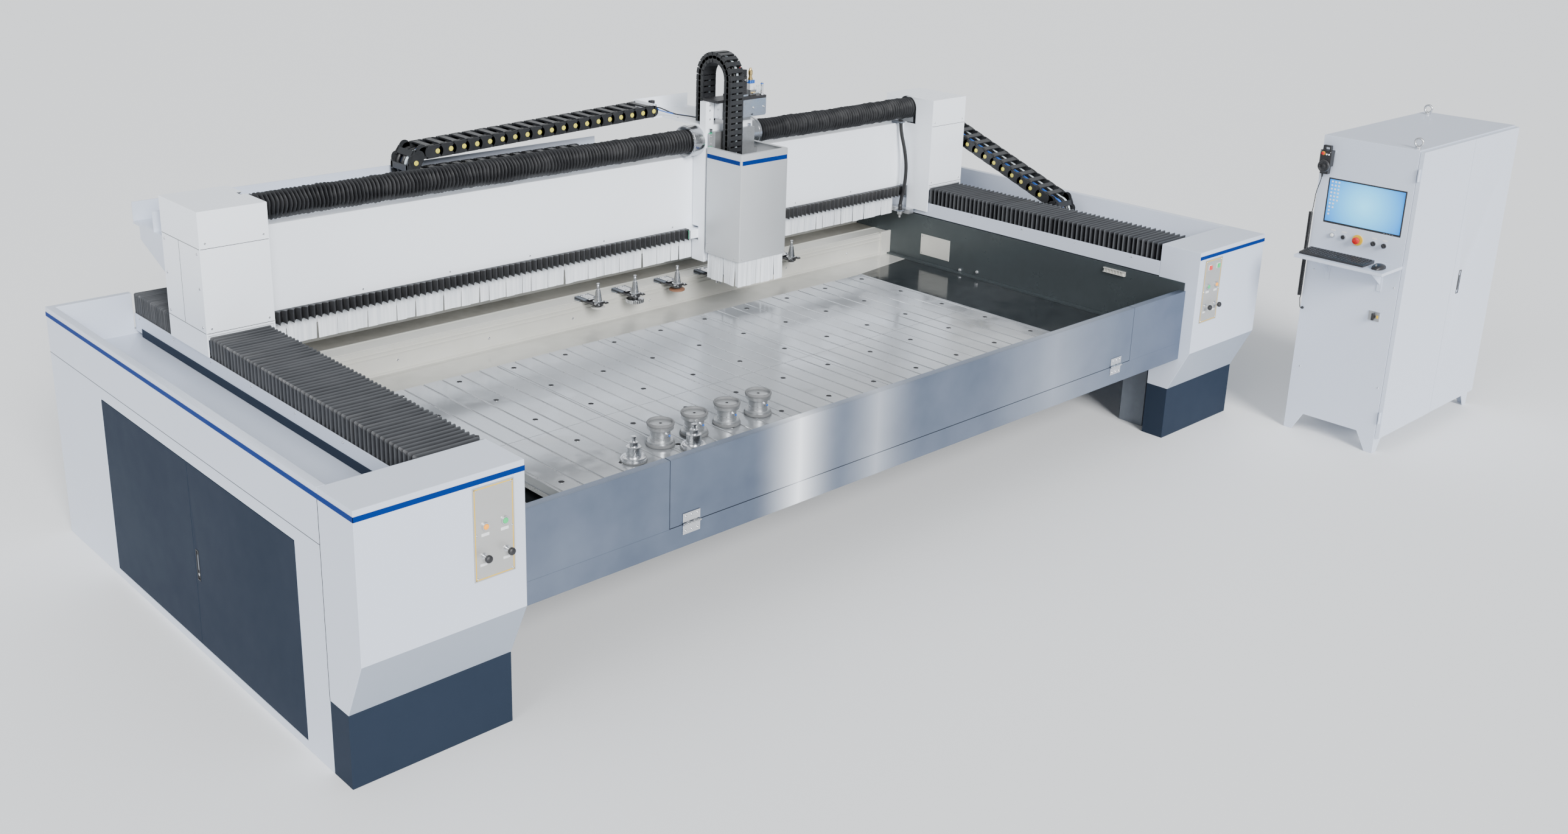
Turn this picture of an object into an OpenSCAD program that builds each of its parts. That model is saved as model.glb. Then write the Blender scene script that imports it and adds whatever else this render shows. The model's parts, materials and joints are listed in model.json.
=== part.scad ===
// Bridge-type CNC router for stone and glass, with its free-standing control cabinet.
// Millimetres, +X along the bridge, +Y from the front fascia to the back, +Z up.
// Lengths below are counted from the left housing's outer face, the front covers' face and the floor.

/* [Machine] */
// Overall length along the bridge
machine_l = 6000; // [5600:50:6400]
// Length of each end housing along the bridge
housing_w = 700; // [680:10:760]
// Front to back depth of the end housings
housing_d = 2900; // [2850:10:3000]
// Height of the end housings
housing_h = 1160; // [1155:5:1180]
// Depth of the front covers
cover_d = 253; // [230:1:280]

/* [Table] */
// Height of the table top above the floor
table_z = 760; // [740:5:780]
// Distance between the clamping holes, both ways
hole_pitch = 320; // [300:5:330]
// Radius of a clamping hole
hole_r = 4.5; // [3:0.5:8]
// Thickness of the table plates
table_t = 40; // [25:1:50]

/* [Gantry] */
// Front face of the gantry columns when parked
column_y = 2006; // [1900:2:2006]
// Front to back depth of a column
column_d = 404; // [380:2:420]
// Height of the column tops
column_top = 1735; // [1725:5:1780]
// Underside of the cross beam
beam_z = 1147; // [1140:1:1150]
// Height of the cross beam
beam_h = 415; // [400:1:415]

/* [Carriage] */
// Left face of the carriage when parked
carriage_x = 3449; // [2600:1:3600]
// Width of the carriage
carriage_w = 363; // [350:1:380]
// Height of the stainless spindle box
zbox_h = 624; // [560:2:640]

/* [Cabinet] */
// Gap between the machine's length and the cabinet
cabinet_gap = 60; // [30:5:400]
// Length of the cabinet along the bridge
cabinet_l = 1280; // [1200:10:1300]
// Width of the cabinet's screen side
cabinet_w = 580; // [560:10:620]
// Height of the cabinet
cabinet_h = 1790; // [1760:5:1850]

/* [Hidden] */

painted = "gainsboro";
navy = "darkslategray";
steel = "lightsteelblue";
$fn = 48;

// Cabinet corners
cab_x = machine_l + cabinet_gap;
cab_x1 = cab_x + cabinet_l;
cab_y = -830;
cab_y1 = cab_y + cabinet_w;
cab_leg = 110;
cab_wall = 20;
door_t = 24;

// The shared origin is the bottom centre of machine and cabinet together
origin_x = cab_x1 / 2;
origin_y = (cab_y + housing_d) / 2;

// End housings
wall = 36;
trough_z = 955;
bed_x0 = 440;
bed_x1 = 660;
bed_top = 972;
strip_x = 400;
inner_x = housing_w;
door_y0 = 454;
door_y1 = 2291;
door_split = 1387;
door_z0 = 38;
door_z1 = 879;
gap = 3;

// Basin and fascia
basin_z = 650;
basin_y0 = 78;
ledge_y = 2330;
ledge_z = 800;
basin_back = 2640;
fascia_y = 70;
fascia_t = 8;
fascia_z0 = 510;
fascia_z1 = 920;
flap_x0 = 1462;
flap_x1 = 4788;
flap_z = 615;
hinge_y = 62;
hinge_w = 95;
hinge_xs = [1530, 4605];

// Table
table_x0 = 1140;
table_x1 = 4490;
table_y0 = 300;
table_y1 = 1830;
hole_x0 = 1207;
hole_y0 = 474;
plate_seam_y = 950;
plate_pitch = (table_x1 - table_x0) / 5;

// Tools parked on the back ledge
tool_xs = [2745, 3010, 3327, 3640, 4265];
tool_y = 2230;
fork_z = 808;

// Vacuum cups and locating pins
cup_xs = [1786, 1984, 2182, 2380];
cup_y = 525;
pin_places = [[1580, 457], [1875, 400]];

// Gantry
column_y1 = column_y + column_d;
col_x0 = 390;
col_x1 = 716;
column_wall = 10;
beam_y0 = column_y + 241;
beam_d = 153;
beam_top = beam_z + beam_h;
bar_y = beam_y0 - 20;
bar_z = beam_top + 98;
bar_r = 25;
tube_r = 70;
rail_y = beam_y0 - 22;

// Carriage and Z axis
car_x1 = carriage_x + carriage_w;
car_y0 = beam_y0 - 108;
car_z0 = 950;
car_top = 1890;
deck_z = 1745;
box_x0 = carriage_x - 4;
box_x1 = box_x0 + 367;
box_y0 = column_y - 178;
box_y1 = box_y0 + 290;
box_z = 1013;
spindle_x = (box_x0 + box_x1) / 2;
spindle_y = (box_y0 + box_y1) / 2;
nose_z = 985;

// Energy chains: thickness, widths, loops
chain_t = 70;
xc_y0 = beam_y0 + 283;
xc_y1 = xc_y0 + 180;
xc_loop_x = 1845;
xc_end_x = carriage_x - 60;
xc_low = 1585;
xc_top = 1727;
xc_end = 1787;
yc_x0 = machine_l - 360;
yc_x1 = yc_x0 + 180;
yc_loop_y = column_y - 674;
yc_low = 993;
yc_r = 85;
yc_tilt = 20.2;
yc_len = 1062;
zc_x0 = carriage_x + 63;
zc_x1 = zc_x0 + 100;
zc_back = beam_y0 + 53;
zc_front = beam_y0 - 245;
zc_t = 60;
zc_top = 2170;

// Controls on the front covers: height, distance from the plate's left edge
panel_w = 178;
panel_z0 = 730;
panel_z1 = 1104;
panel_x_left = 471;
panel_x_right = machine_l - 642;
button_dx = [50, 134];
button_z = 945;
knob_dx = [40, 140];
knob_z = 829;

// Controls on the cabinet: distance from its front edge
cab_row_z = 1226;
lamp_y = -382;
cab_button_y = -447;
estop_y = -532;
selector_ys = [-626, -688];
isolator_y = -693;
isolator_z = 812;

// Pendant lead: from the gland up to the coil, and from the coil up to the pendant
coil_x = cab_x - 16;
coil_y = -240;
coil_z0 = 830;
coil_z1 = 1340;
coil_r = 12;
lead_r = 2.5;
gland_y = -268;
gland_z = 760;
lead_low = [[cab_x - 15, gland_y, gland_z], [cab_x - 23, -268, 760], [cab_x - 31, -267, 763],
    [cab_x - 37, -266, 769], [cab_x - 40, -265, 778], [cab_x - 40, -263, 788], [cab_x - 38, -260, 798],
    [cab_x - 34, -256, 808], [cab_x - 29, -251, 817], [cab_x - 23, -245, 824], [cab_x - 16, -240, 830]];
lead_high = [[cab_x - 16, -240, 1340], [cab_x - 16, -240, 1355], [cab_x - 17, -241, 1370],
    [cab_x - 19, -243, 1390], [cab_x - 22, -247, 1410], [cab_x - 25, -252, 1430], [cab_x - 27, -257, 1450],
    [cab_x - 29, -263, 1470], [cab_x - 31, -269, 1490], [cab_x - 32, -274, 1510], [cab_x - 33, -279, 1530],
    [cab_x - 33, -282, 1550], [cab_x - 33, -284, 1563], [cab_x - 33, -284, 1575]];

// Hose to the tool setter: hand-placed route, relative to the parked gantry
hose_r = 12;
hose_route = [[5214, 2212, 1570], [5214, 2211, 1550], [5215, 2207, 1520], [5218, 2201, 1485], [5223, 2192, 1445],
    [5229, 2183, 1400], [5234, 2175, 1350], [5237, 2169, 1300], [5237, 2166, 1250], [5234, 2165, 1200],
    [5229, 2166, 1155], [5224, 2169, 1115], [5219, 2173, 1080], [5215, 2176, 1050], [5214, 2178, 1030]];

// ---------- helpers ----------
module box(x0, x1, y0, y1, z0, z1) {
    translate([x0, y0, z0]) cube([x1 - x0, y1 - y0, z1 - z0]);
}

module place() {
    translate([-origin_x, -origin_y, 0]) children();
}

// Copies children to the right end, mirrored about the machine's middle
module other_end() {
    translate([machine_l, 0, 0]) mirror([1, 0, 0]) children();
}

module both_ends() {
    children();
    other_end() children();
}

module along_x(x0, x1, y, z, r) {
    translate([x0, y, z]) rotate([0, 90, 0]) cylinder(h = x1 - x0, r = r);
}

module along_y(y0, y1, x, z, r) {
    translate([x, y0, z]) rotate([-90, 0, 0]) cylinder(h = y1 - y0, r = r);
}

module post(x, y, z0, z1, r) {
    translate([x, y, z0]) cylinder(h = z1 - z0, r = r);
}

// Profile in Y and Z, drawn along X
module profile_x(x0, x1, points) {
    translate([x0, 0, 0]) rotate([90, 0, 90]) linear_extrude(x1 - x0) polygon(points);
}

// Round tube swept along a list of points
function unit(v) = v / norm(v);
function tangent(p, i) = unit(p[min(i + 1, len(p) - 1)] - p[max(i - 1, 0)]);
function ring_of(c, t, r, n, flip) =
    let (side = unit(cross(t, flip)), up = cross(side, t))
    [for (k = [0 : n - 1]) c + r * (cos(360 * k / n) * side + sin(360 * k / n) * up)];

module sweep(route, r, n = 10, flip = [1, 0, 0]) {
    rings = len(route);
    points = [for (i = [0 : rings - 1]) each ring_of(route[i], tangent(route, i), r, n, flip)];
    sides = [for (i = [0 : rings - 2], k = [0 : n - 1])
        [i * n + k, (i + 1) * n + k, (i + 1) * n + (k + 1) % n, i * n + (k + 1) % n]];
    start = [for (k = [0 : n - 1]) k];
    finish = [for (k = [0 : n - 1]) rings * n - 1 - k];
    polyhedron(points = points, faces = concat(sides, [start], [finish]), convexity = 6);
}

// ---------- base, housings, basin ----------
module base_frame() {
    color(steel) place() {
        difference() {
            union() {
                box(bed_x1, machine_l - bed_x1, 262, 362, 520, 640);
                box(bed_x1, machine_l - bed_x1, 2240, 2340, 520, 640);
                for (x = [1500, 2950, 4400]) box(x, x + 100, 362, 2240, 540, 640);
            }
            box(bed_x1 + 20, machine_l - bed_x1 - 20, 272, 352, 530, 630);
            box(bed_x1 + 20, machine_l - bed_x1 - 20, 2250, 2330, 530, 630);
        }
        for (y = [1100, 2225]) {
            box(2935, 3065, y, y + 130, 12, 545);
            box(2905, 3095, y - 30, y + 160, 0, 12);
        }
        both_ends() for (y = [300, 1380, 2640]) {
            box(bed_x0 + 30, bed_x1 - 30, y, y + 160, 0, 600);
        }
    }
}

module housing_shell(with_doors) {
    difference() {
        box(0, wall, cover_d, housing_d, 0, housing_h);
        if (with_doors) box(-1, wall + 1, door_y0, door_y1, door_z0, door_z1);
    }
    box(wall, 393, housing_d - wall, housing_d, 0, housing_h);
    box(393, housing_w, housing_d - wall, housing_d, 0, trough_z + 20);
    box(wall, bed_x0, cover_d, housing_d - wall, trough_z - 10, trough_z);
    box(wall, strip_x - 10, cover_d, cover_d + 6, 20, trough_z - 10);
}

module housing_left() {
    color(painted) place() housing_shell(true);
}

module housing_right() {
    color(painted) place() other_end() housing_shell(false);
}

module front_cover() {
    outer = [[0, housing_h], [0, 558], [117, 309], [cover_d, 309], [cover_d, housing_h]];
    inner = [[8, housing_h - 8], [8, 560], [122, 317], [cover_d + 1, 317], [cover_d + 1, housing_h - 8]];
    difference() {
        profile_x(0, housing_w, outer);
        profile_x(8, housing_w - 8, inner);
    }
}

module front_covers() {
    color(painted) place() both_ends() front_cover();
}

module plinths() {
    color(navy) place() both_ends() difference() {
        box(0, housing_w, 117, cover_d, 0, 309);
        box(8, housing_w - 8, 125, cover_d + 1, -1, 301);
    }
}

module rail_beds() {
    color("slategray") place() both_ends() {
        difference() {
            box(bed_x0, bed_x1, cover_d + 7, housing_d - wall, 600, bed_top);
            box(bed_x0 + 14, bed_x1 - 14, cover_d + 6, housing_d - wall + 1, 614, bed_top - 14);
        }
        box(538, 562, cover_d + 10, housing_d - wall - 5, bed_top, 1010);
        box(600, 620, cover_d + 10, housing_d - wall - 5, bed_top, 1000);
    }
}

module guard_strips() {
    color(painted) place() both_ends() {
        box(strip_x - 2, strip_x + 2, cover_d + 1, housing_d - wall - 1, bed_top, 1060);
        box(strip_x + 2, bed_x0 + 30, cover_d + 1, housing_d - wall - 1, bed_top, bed_top + 4);
        box(inner_x - 4, inner_x, cover_d + 1, housing_d - wall - 1, bed_top, 1057);
        box(bed_x1 - 30, inner_x - 4, cover_d + 1, housing_d - wall - 1, bed_top, bed_top + 4);
    }
}

module basin() {
    color("dimgray") place() {
        box(inner_x, machine_l - inner_x, basin_y0, ledge_y + 6, basin_z - 10, basin_z);
        both_ends() box(inner_x, inner_x + 6, basin_y0, basin_back, basin_z, bed_top - 5);
        box(inner_x + 6, machine_l - inner_x - 6, ledge_y, ledge_y + 6, basin_z, ledge_z);
        box(inner_x + 6, machine_l - inner_x - 6, ledge_y + 6, basin_back, ledge_z - 6, ledge_z);
        box(inner_x + 6, machine_l - inner_x - 6, basin_back - 6, basin_back, ledge_z, 900);
    }
}

module hinge_knuckles(first) {
    for (x0 = hinge_xs, k = [first : 2 : 4]) {
        along_x(x0 + k * 19 + 0.3, x0 + k * 19 + 18.7, hinge_y, flap_z, 6);
    }
}

module fascia() {
    color(steel) place() {
        box(inner_x, machine_l - inner_x, fascia_y, fascia_y + fascia_t, fascia_z0, flap_z - gap);
        box(inner_x, flap_x0 - gap, fascia_y, fascia_y + fascia_t, flap_z - gap, fascia_z1);
        box(flap_x1 + gap, machine_l - inner_x, fascia_y, fascia_y + fascia_t, flap_z - gap, fascia_z1);
        box(inner_x, machine_l - inner_x, fascia_y + fascia_t, 120, fascia_z0, fascia_z0 + 8);
        for (x0 = hinge_xs) {
            box(x0, x0 + hinge_w, fascia_y - 4, fascia_y, 567, flap_z - 8);
            for (k = [0 : 2 : 4]) box(x0 + k * 19 + 0.3, x0 + k * 19 + 18.7, hinge_y, fascia_y, flap_z - 8, flap_z - 3);
            along_x(x0 + 0.3, x0 + hinge_w - 0.3, hinge_y, flap_z, 3);
        }
        difference() {
            hinge_knuckles(0);
            for (x0 = hinge_xs) along_x(x0 - 1, x0 + hinge_w + 1, hinge_y, flap_z, 3);
        }
    }
}

module fascia_flap() {
    color(steel) place() {
        box(flap_x0, flap_x1, fascia_y, fascia_y + fascia_t, flap_z, fascia_z1);
        for (x0 = hinge_xs) {
            box(x0, x0 + hinge_w, fascia_y - 4, fascia_y, flap_z + 8, 663);
            for (k = [1 : 2 : 3]) box(x0 + k * 19 + 0.3, x0 + k * 19 + 18.7, hinge_y, fascia_y, flap_z + 4, flap_z + 8);
        }
        difference() {
            hinge_knuckles(1);
            for (x0 = hinge_xs) along_x(x0 - 1, x0 + hinge_w + 1, hinge_y, flap_z, 3.06);
        }
    }
}

// ---------- table and tools ----------
module table_plates() {
    color("silver") place() {
        difference() {
            for (c = [0 : 4], row = [0, 1]) {
                x0 = table_x0 + c * plate_pitch;
                y0 = row == 0 ? table_y0 : plate_seam_y + gap;
                y1 = row == 0 ? plate_seam_y : table_y1;
                box(x0, x0 + plate_pitch - gap, y0, y1, table_z - table_t, table_z);
            }
            for (i = [0 : 10], j = [0 : 4]) {
                post(hole_x0 + i * hole_pitch, hole_y0 + j * hole_pitch, table_z - table_t - 1, table_z + 1, hole_r);
            }
        }
        for (c = [0 : 4], dx = [120, 500]) {
            x0 = table_x0 + c * plate_pitch + dx;
            box(x0, x0 + 40, table_y0, plate_seam_y, basin_z, table_z - table_t);
            box(x0, x0 + 40, plate_seam_y + gap, table_y1, basin_z, table_z - table_t);
        }
    }
}

module tool_forks() {
    color("dimgray") place() for (x = tool_xs) {
        difference() {
            box(x - 48, x + 48, tool_y - 36, ledge_y + 60, fork_z, fork_z + 7);
            post(x, tool_y, fork_z - 1, fork_z + 8, 24);
            box(x - 24, x + 24, tool_y - 37, tool_y, fork_z - 1, fork_z + 8);
        }
        box(x - 48, x + 48, ledge_y + 8, ledge_y + 60, ledge_z, fork_z);
    }
}

module holder(x, tool_r, tool_h) {
    post(x, tool_y, fork_z - 9, fork_z - 1, 31.5);
    post(x, tool_y, fork_z - 1, fork_z + 8, 23.4);
    post(x, tool_y, fork_z + 8, fork_z + 17, 31.5);
    translate([x, tool_y, fork_z + 17]) cylinder(h = 66, r1 = 22.2, r2 = 12.7);
    post(x, tool_y, fork_z + 83, fork_z + 108, 8);
    post(x, tool_y, fork_z + 108, fork_z + 120, 9.5);
    post(x, tool_y, fork_z - 18, fork_z - 9, 20);
    post(x, tool_y, fork_z - 18 - tool_h, fork_z - 18, tool_r);
}

module tool_holders() {
    color("silver") place() {
        holder(tool_xs[0], 40, 7);
        holder(tool_xs[1], 50, 24);
        holder(tool_xs[2], 46, 12);
        holder(tool_xs[3], 8, 26);
        holder(tool_xs[4], 22, 10);
    }
}

module cup(x, y) {
    translate([x, y, table_z]) {
        cylinder(h = 14, r = 66);
        translate([0, 0, 14]) cylinder(h = 12, r = 60);
        translate([0, 0, 26]) cylinder(h = 52, r = 45);
        translate([0, 0, 78]) cylinder(h = 18, r = 60);
        translate([0, 0, 96]) difference() {
            cylinder(h = 14, r = 63);
            translate([0, 0, 4]) cylinder(h = 11, r = 52);
        }
    }
}

module locating_pin(x, y) {
    translate([x, y, table_z]) {
        cylinder(h = 14, r = 60);
        translate([0, 0, 14]) cylinder(h = 9, r = 54);
        translate([0, 0, 23]) cylinder(h = 46, r = 33);
        translate([0, 0, 69]) cylinder(h = 20, r = 19);
        translate([0, 0, 89]) cylinder(h = 20, r = 7);
        translate([0, 0, 109]) cylinder(h = 7, r = 12);
    }
}

module vacuum_cups() {
    color("gray") place() {
        for (x = cup_xs) cup(x, cup_y);
        for (p = pin_places) locating_pin(p[0], p[1]);
    }
}

// ---------- controls on the front covers ----------
module bezel(x, z, r_out, r_in) {
    translate([x, -11, z]) rotate([-90, 0, 0]) difference() {
        cylinder(h = 8, r = r_out);
        translate([0, 0, -1]) cylinder(h = 10, r = r_in);
    }
}

module control_plate(x0, with_lamps) {
    difference() {
        box(x0, x0 + panel_w, -3, 0, panel_z0, panel_z1);
        for (dx = button_dx) along_y(-4, 1, x0 + dx, button_z, 11.4);
    }
    for (dx = button_dx) bezel(x0 + dx, button_z, 15, 11.4);
    for (dx = knob_dx) {
        along_y(-9, -3, x0 + dx, knob_z, 11);
        along_y(-26, -9, x0 + dx, knob_z, 6);
        along_y(-48, -26, x0 + dx, knob_z, 13);
    }
    if (with_lamps) for (dx = button_dx) box(x0 + dx - 13, x0 + dx + 13, -13, -3, 1045, 1071);
}

module control_plates() {
    color("lightgray") place() {
        control_plate(panel_x_left, false);
        control_plate(panel_x_right, true);
    }
}

module front_button(x) {
    place() along_y(-14, -6, x, button_z, 11);
}

module stop_button_left() {
    color("orange") front_button(panel_x_left + button_dx[0]);
}

module start_button_left() {
    color("green") front_button(panel_x_left + button_dx[1]);
}

module start_button_right() {
    color("green") front_button(panel_x_right + button_dx[0]);
}

module stop_button_right() {
    color("orange") front_button(panel_x_right + button_dx[1]);
}

// ---------- way covers and doors ----------
module rail_bellows(y0, y1) {
    difference() {
        box(strip_x + 6, inner_x - 8, y0, y1, 980, housing_h);
        box(strip_x + 26, inner_x - 28, y0 - 1, y1 + 1, 979, housing_h - 25);
    }
}

module front_bellows() {
    color("black") place() both_ends() rail_bellows(cover_d + 2, column_y - 2);
}

module rear_bellows() {
    color("black") place() both_ends() rail_bellows(column_y1 + 2, housing_d - wall - 2);
}

module side_door(y0, y1) {
    box(0, 24, y0, y1, door_z0 + gap, door_z1 - gap);
}

module door_left_front() {
    pull_y = door_split - 30;
    color(navy) place() {
        difference() {
            side_door(door_y0 + gap, door_split - 1.5);
            box(-1, 12, pull_y - 13, pull_y + 13, 352, 492);
        }
        box(3, 12, pull_y - 8, pull_y + 8, 362, 482);
    }
}

module door_left_rear() {
    color(navy) place() side_door(door_split + 1.5, door_y1 - gap);
}

// ---------- gantry ----------
module column(outer_z) {
    top_cap = beam_top + 3;
    difference() {
        union() {
            box(col_x0, col_x1, column_y, column_y1, housing_h + 5, column_top);
            box(col_x0, col_x0 + 7, column_y, column_y1, 1066, housing_h + 5);
            box(col_x1 - 8, col_x1, column_y, column_y1, 1000, housing_h + 5);
        }
        box(col_x0 + column_wall, col_x1 - column_wall, column_y + column_wall, column_y1 - column_wall,
            housing_h, column_top - column_wall);
        box(col_x0 + column_wall + 20, col_x1 + 1, beam_y0 - 1, beam_y0 + beam_d + 1, beam_z - 1, beam_top + 1);
        along_x(col_x1 - 30, col_x1 + 1, bar_y, bar_z, tube_r + 8);
        box(col_x1 - 30, col_x1 + 1, bar_y - tube_r - 8, bar_y + tube_r + 8, beam_top, bar_z);
        box(col_x1 - 30, col_x1 + 1, bar_y - 40, column_y1 + 1, 999, beam_z);
    }
    difference() {
        box(470, 640, column_y + 30, column_y1 - 30, 1012, beam_z - 3);
        box(530, 570, column_y + 29, column_y1 - 29, 1011, 1020);
    }
    box(col_x0 + column_wall - 2, col_x1 - column_wall + 2, column_y + column_wall, beam_y0 - 30,
        beam_z - 4, housing_h + 15);
}

module gantry_column_left() {
    color(painted) place() column();
}

module gantry_column_right() {
    color(painted) place() {
        other_end() column();
        box(machine_l - col_x0, yc_x1 + 10, column_y + 300, column_y + 380, 1470, 1480);
        box(machine_l - col_x0, yc_x1 + 10, column_y + 372, column_y + 380, 1480, 1570);
    }
}

module cross_beam() {
    color("white") place() {
        difference() {
            box(640, machine_l - 640, beam_y0, beam_y0 + beam_d, beam_z, beam_top);
            box(630, machine_l - 630, beam_y0 + 10, beam_y0 + beam_d - 10, beam_z + 10, beam_top - 10);
        }
        box(col_x1 + 4, machine_l - col_x1 - 4, beam_y0, beam_y0 + 8, 1078, beam_z);
    }
}

module beam_rails() {
    color("silver") place() {
        along_x(650, machine_l - 650, bar_y, bar_z, bar_r);
        both_ends() difference() {
            box(655, 690, bar_y - 35, bar_y + 75, beam_top, bar_z + 35);
            along_x(640, 700, bar_y, bar_z, bar_r);
        }
        box(col_x1 + 4, machine_l - col_x1 - 4, rail_y, beam_y0, 1100, 1125);
    }
}

module strip_curtain() {
    color("whitesmoke") place() box(col_x1 + 60, machine_l - col_x1 - 60, beam_y0 + 9, beam_y0 + 13, 955, beam_z - 2);
}

module hollow_tube(x0, x1) {
    difference() {
        along_x(x0, x1, bar_y, bar_z, tube_r);
        along_x(x0 - 1, x1 + 1, bar_y, bar_z, tube_r - 20);
    }
}

module tube_bellows() {
    color("black") place() {
        hollow_tube(col_x1 - 14, carriage_x - 1);
        hollow_tube(car_x1 + 1, machine_l - col_x1 + 14);
    }
}

module strip_bellows() {
    color("black") place() {
        box(col_x1 + 4, carriage_x - 66, beam_y0 - 56, beam_y0 - 24, 1078, beam_z);
        box(car_x1 + 66, machine_l - col_x1 - 4, beam_y0 - 56, beam_y0 - 24, 1078, beam_z);
    }
}

module chain_tray() {
    back = xc_y1 + 30;
    front = xc_y0 - 30;
    color("gainsboro") place() {
        box(col_x0, 3110, column_y1, back, 1535, 1543);
        for (x = [col_x0, 1290, 2190, 3102]) {
            y0 = x < col_x1 ? column_y1 : beam_y0 + beam_d;
            profile_x(x, x + 8, [[y0, 1371], [y0, 1536], [column_y1 + 259, 1536], [column_y1 + 259, 1473]]);
        }
        box(col_x0, 3110, front, back, 1543, 1548);
        box(col_x0, 3110, front, front + 5, 1548, 1640);
        box(col_x0, 3110, back - 5, back, 1548, 1640);
    }
}

module tool_setter() {
    y0 = column_y + 115;
    color("silver") place() {
        difference() {
            box(5236, machine_l - col_x1, y0, column_y1, 970, 1000);
            for (z = [976, 988]) box(5235, 5240, y0 - 1, column_y1 + 1, z, z + 6);
        }
        box(5196, 5236, y0 + 40, y0 + 80, 984, 992);
        post(5214, y0 + 57, 992, 1030, 15);
        post(5214, y0 + 57, 958, 984, 17);
        post(5214, y0 + 57, 940, 958, 9);
        box(5195, 5235, bar_y - 31, beam_y0 + 30, beam_top + 8, beam_top + 16);
        box(5195, 5235, beam_y0 + 1, beam_y0 + 30, beam_top, beam_top + 8);
    }
}

module setter_hose() {
    color("black") place() translate([0, column_y - 2006, 0]) sweep(hose_route, hose_r);
}

// ---------- energy chains ----------
module half_ring_x(cx, cz, y0, y1, r) {
    intersection() {
        translate([cx, y1, cz]) rotate([90, 0, 0]) difference() {
            cylinder(h = y1 - y0, r = r + chain_t / 2);
            translate([0, 0, -1]) cylinder(h = y1 - y0 + 2, r = r - chain_t / 2);
        }
        box(cx - r - chain_t, cx, y0 - 1, y1 + 1, cz - r - chain_t, cz + r + chain_t);
    }
}

module x_chain_run() {
    rise = xc_end - xc_top;
    length = xc_end_x - xc_loop_x;
    color("dimgray") place() translate([xc_loop_x, xc_y1, xc_top]) rotate([90, 0, 0])
        linear_extrude(xc_y1 - xc_y0) polygon([[1, -chain_t / 2], [length, rise - chain_t / 2],
            [length, rise + chain_t / 2], [1, chain_t / 2]]);
}

module x_chain_loop() {
    color("dimgray") place() half_ring_x(xc_loop_x, (xc_low + xc_top) / 2, xc_y0, xc_y1, (xc_top - xc_low) / 2);
}

module y_chain_run() {
    cz = yc_low + yc_r;
    color("dimgray") place() translate([yc_x0, yc_loop_y - yc_r * sin(yc_tilt), cz + yc_r * cos(yc_tilt)])
        rotate([yc_tilt, 0, 0]) translate([0, 1, -chain_t / 2]) cube([yc_x1 - yc_x0, yc_len, chain_t]);
}

module y_chain_loop() {
    cz = yc_low + yc_r;
    color("dimgray") place() intersection() {
        translate([yc_x0, yc_loop_y, cz]) rotate([0, 90, 0]) difference() {
            cylinder(h = yc_x1 - yc_x0, r = yc_r + chain_t / 2);
            translate([0, 0, -1]) cylinder(h = yc_x1 - yc_x0 + 2, r = yc_r - chain_t / 2);
        }
        translate([yc_x0 - 1, yc_loop_y, cz]) rotate([yc_tilt, 0, 0])
            translate([0, -yc_r - chain_t, -yc_r - chain_t]) cube([200, yc_r + chain_t, 2 * (yc_r + chain_t)]);
    }
}

module z_chain() {
    mid = (zc_back + zc_front) / 2;
    r_out = (zc_back - zc_front) / 2;
    cz = zc_top - r_out;
    color("dimgray") place() {
        intersection() {
            translate([zc_x0, mid, cz]) rotate([0, 90, 0]) difference() {
                cylinder(h = zc_x1 - zc_x0, r = r_out);
                translate([0, 0, -1]) cylinder(h = zc_x1 - zc_x0 + 2, r = r_out - zc_t);
            }
            box(zc_x0 - 1, zc_x1 + 1, zc_front - 1, zc_back + 1, cz, zc_top + 1);
        }
        box(zc_x0, zc_x1, zc_back - zc_t, zc_back, deck_z + 11, cz);
        box(zc_x0, zc_x1, zc_front, zc_front + zc_t, 1541, cz);
    }
}

// ---------- carriage and Z axis ----------
module carriage_plate() {
    color("whitesmoke") place() {
        difference() {
            union() {
                box(carriage_x, car_x1, car_y0, car_y0 + 50, car_z0, deck_z);
                box(carriage_x, carriage_x + 60, car_y0, car_y0 + 50, deck_z, car_top);
                box(carriage_x, carriage_x + 20, car_y0 + 50, beam_y0 - 5, car_z0, deck_z);
                box(car_x1 - 20, car_x1, car_y0 + 50, beam_y0 - 5, car_z0, deck_z);
            }
            along_x(carriage_x - 1, car_x1 + 1, bar_y, bar_z, 60);
            box(carriage_x - 1, car_x1 + 1, car_y0 + 50, beam_y0 + 1, 1070, beam_z + 8);
        }
        for (x = [carriage_x + 21, car_x1 - 41]) box(x, x + 20, car_y0 - 12, car_y0, 960, 1735);
        box(carriage_x, car_x1, car_y0, xc_y1 + 20, deck_z, deck_z + 10);
        difference() {
            box(carriage_x + 30, car_x1 - 30, bar_y - 33, bar_y + 40, bar_z - 37, deck_z);
            along_x(carriage_x + 20, car_x1 - 20, bar_y, bar_z, bar_r + 0.06);
        }
        box(carriage_x - 61, car_x1 + 61, car_y0 + 49, rail_y - 2, 1088, 1140);
        both_collars();
        box(xc_end_x + 1, carriage_x + 20, xc_y0, xc_y1, deck_z, deck_z + 10);
        box(xc_end_x + 1, xc_end_x + 7, xc_y0, xc_y1, deck_z + 10, 1830);
        box(xc_end_x + 1, car_x1, xc_y1 + 12, xc_y1 + 20, deck_z + 10, 1830);
    }
}

module both_collars() {
    for (x = [carriage_x - 84, car_x1 - 2]) difference() {
        along_x(x, x + 86, bar_y, bar_z, 88);
        along_x(x - 1, x + 87, bar_y, bar_z, 83);
    }
}

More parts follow.
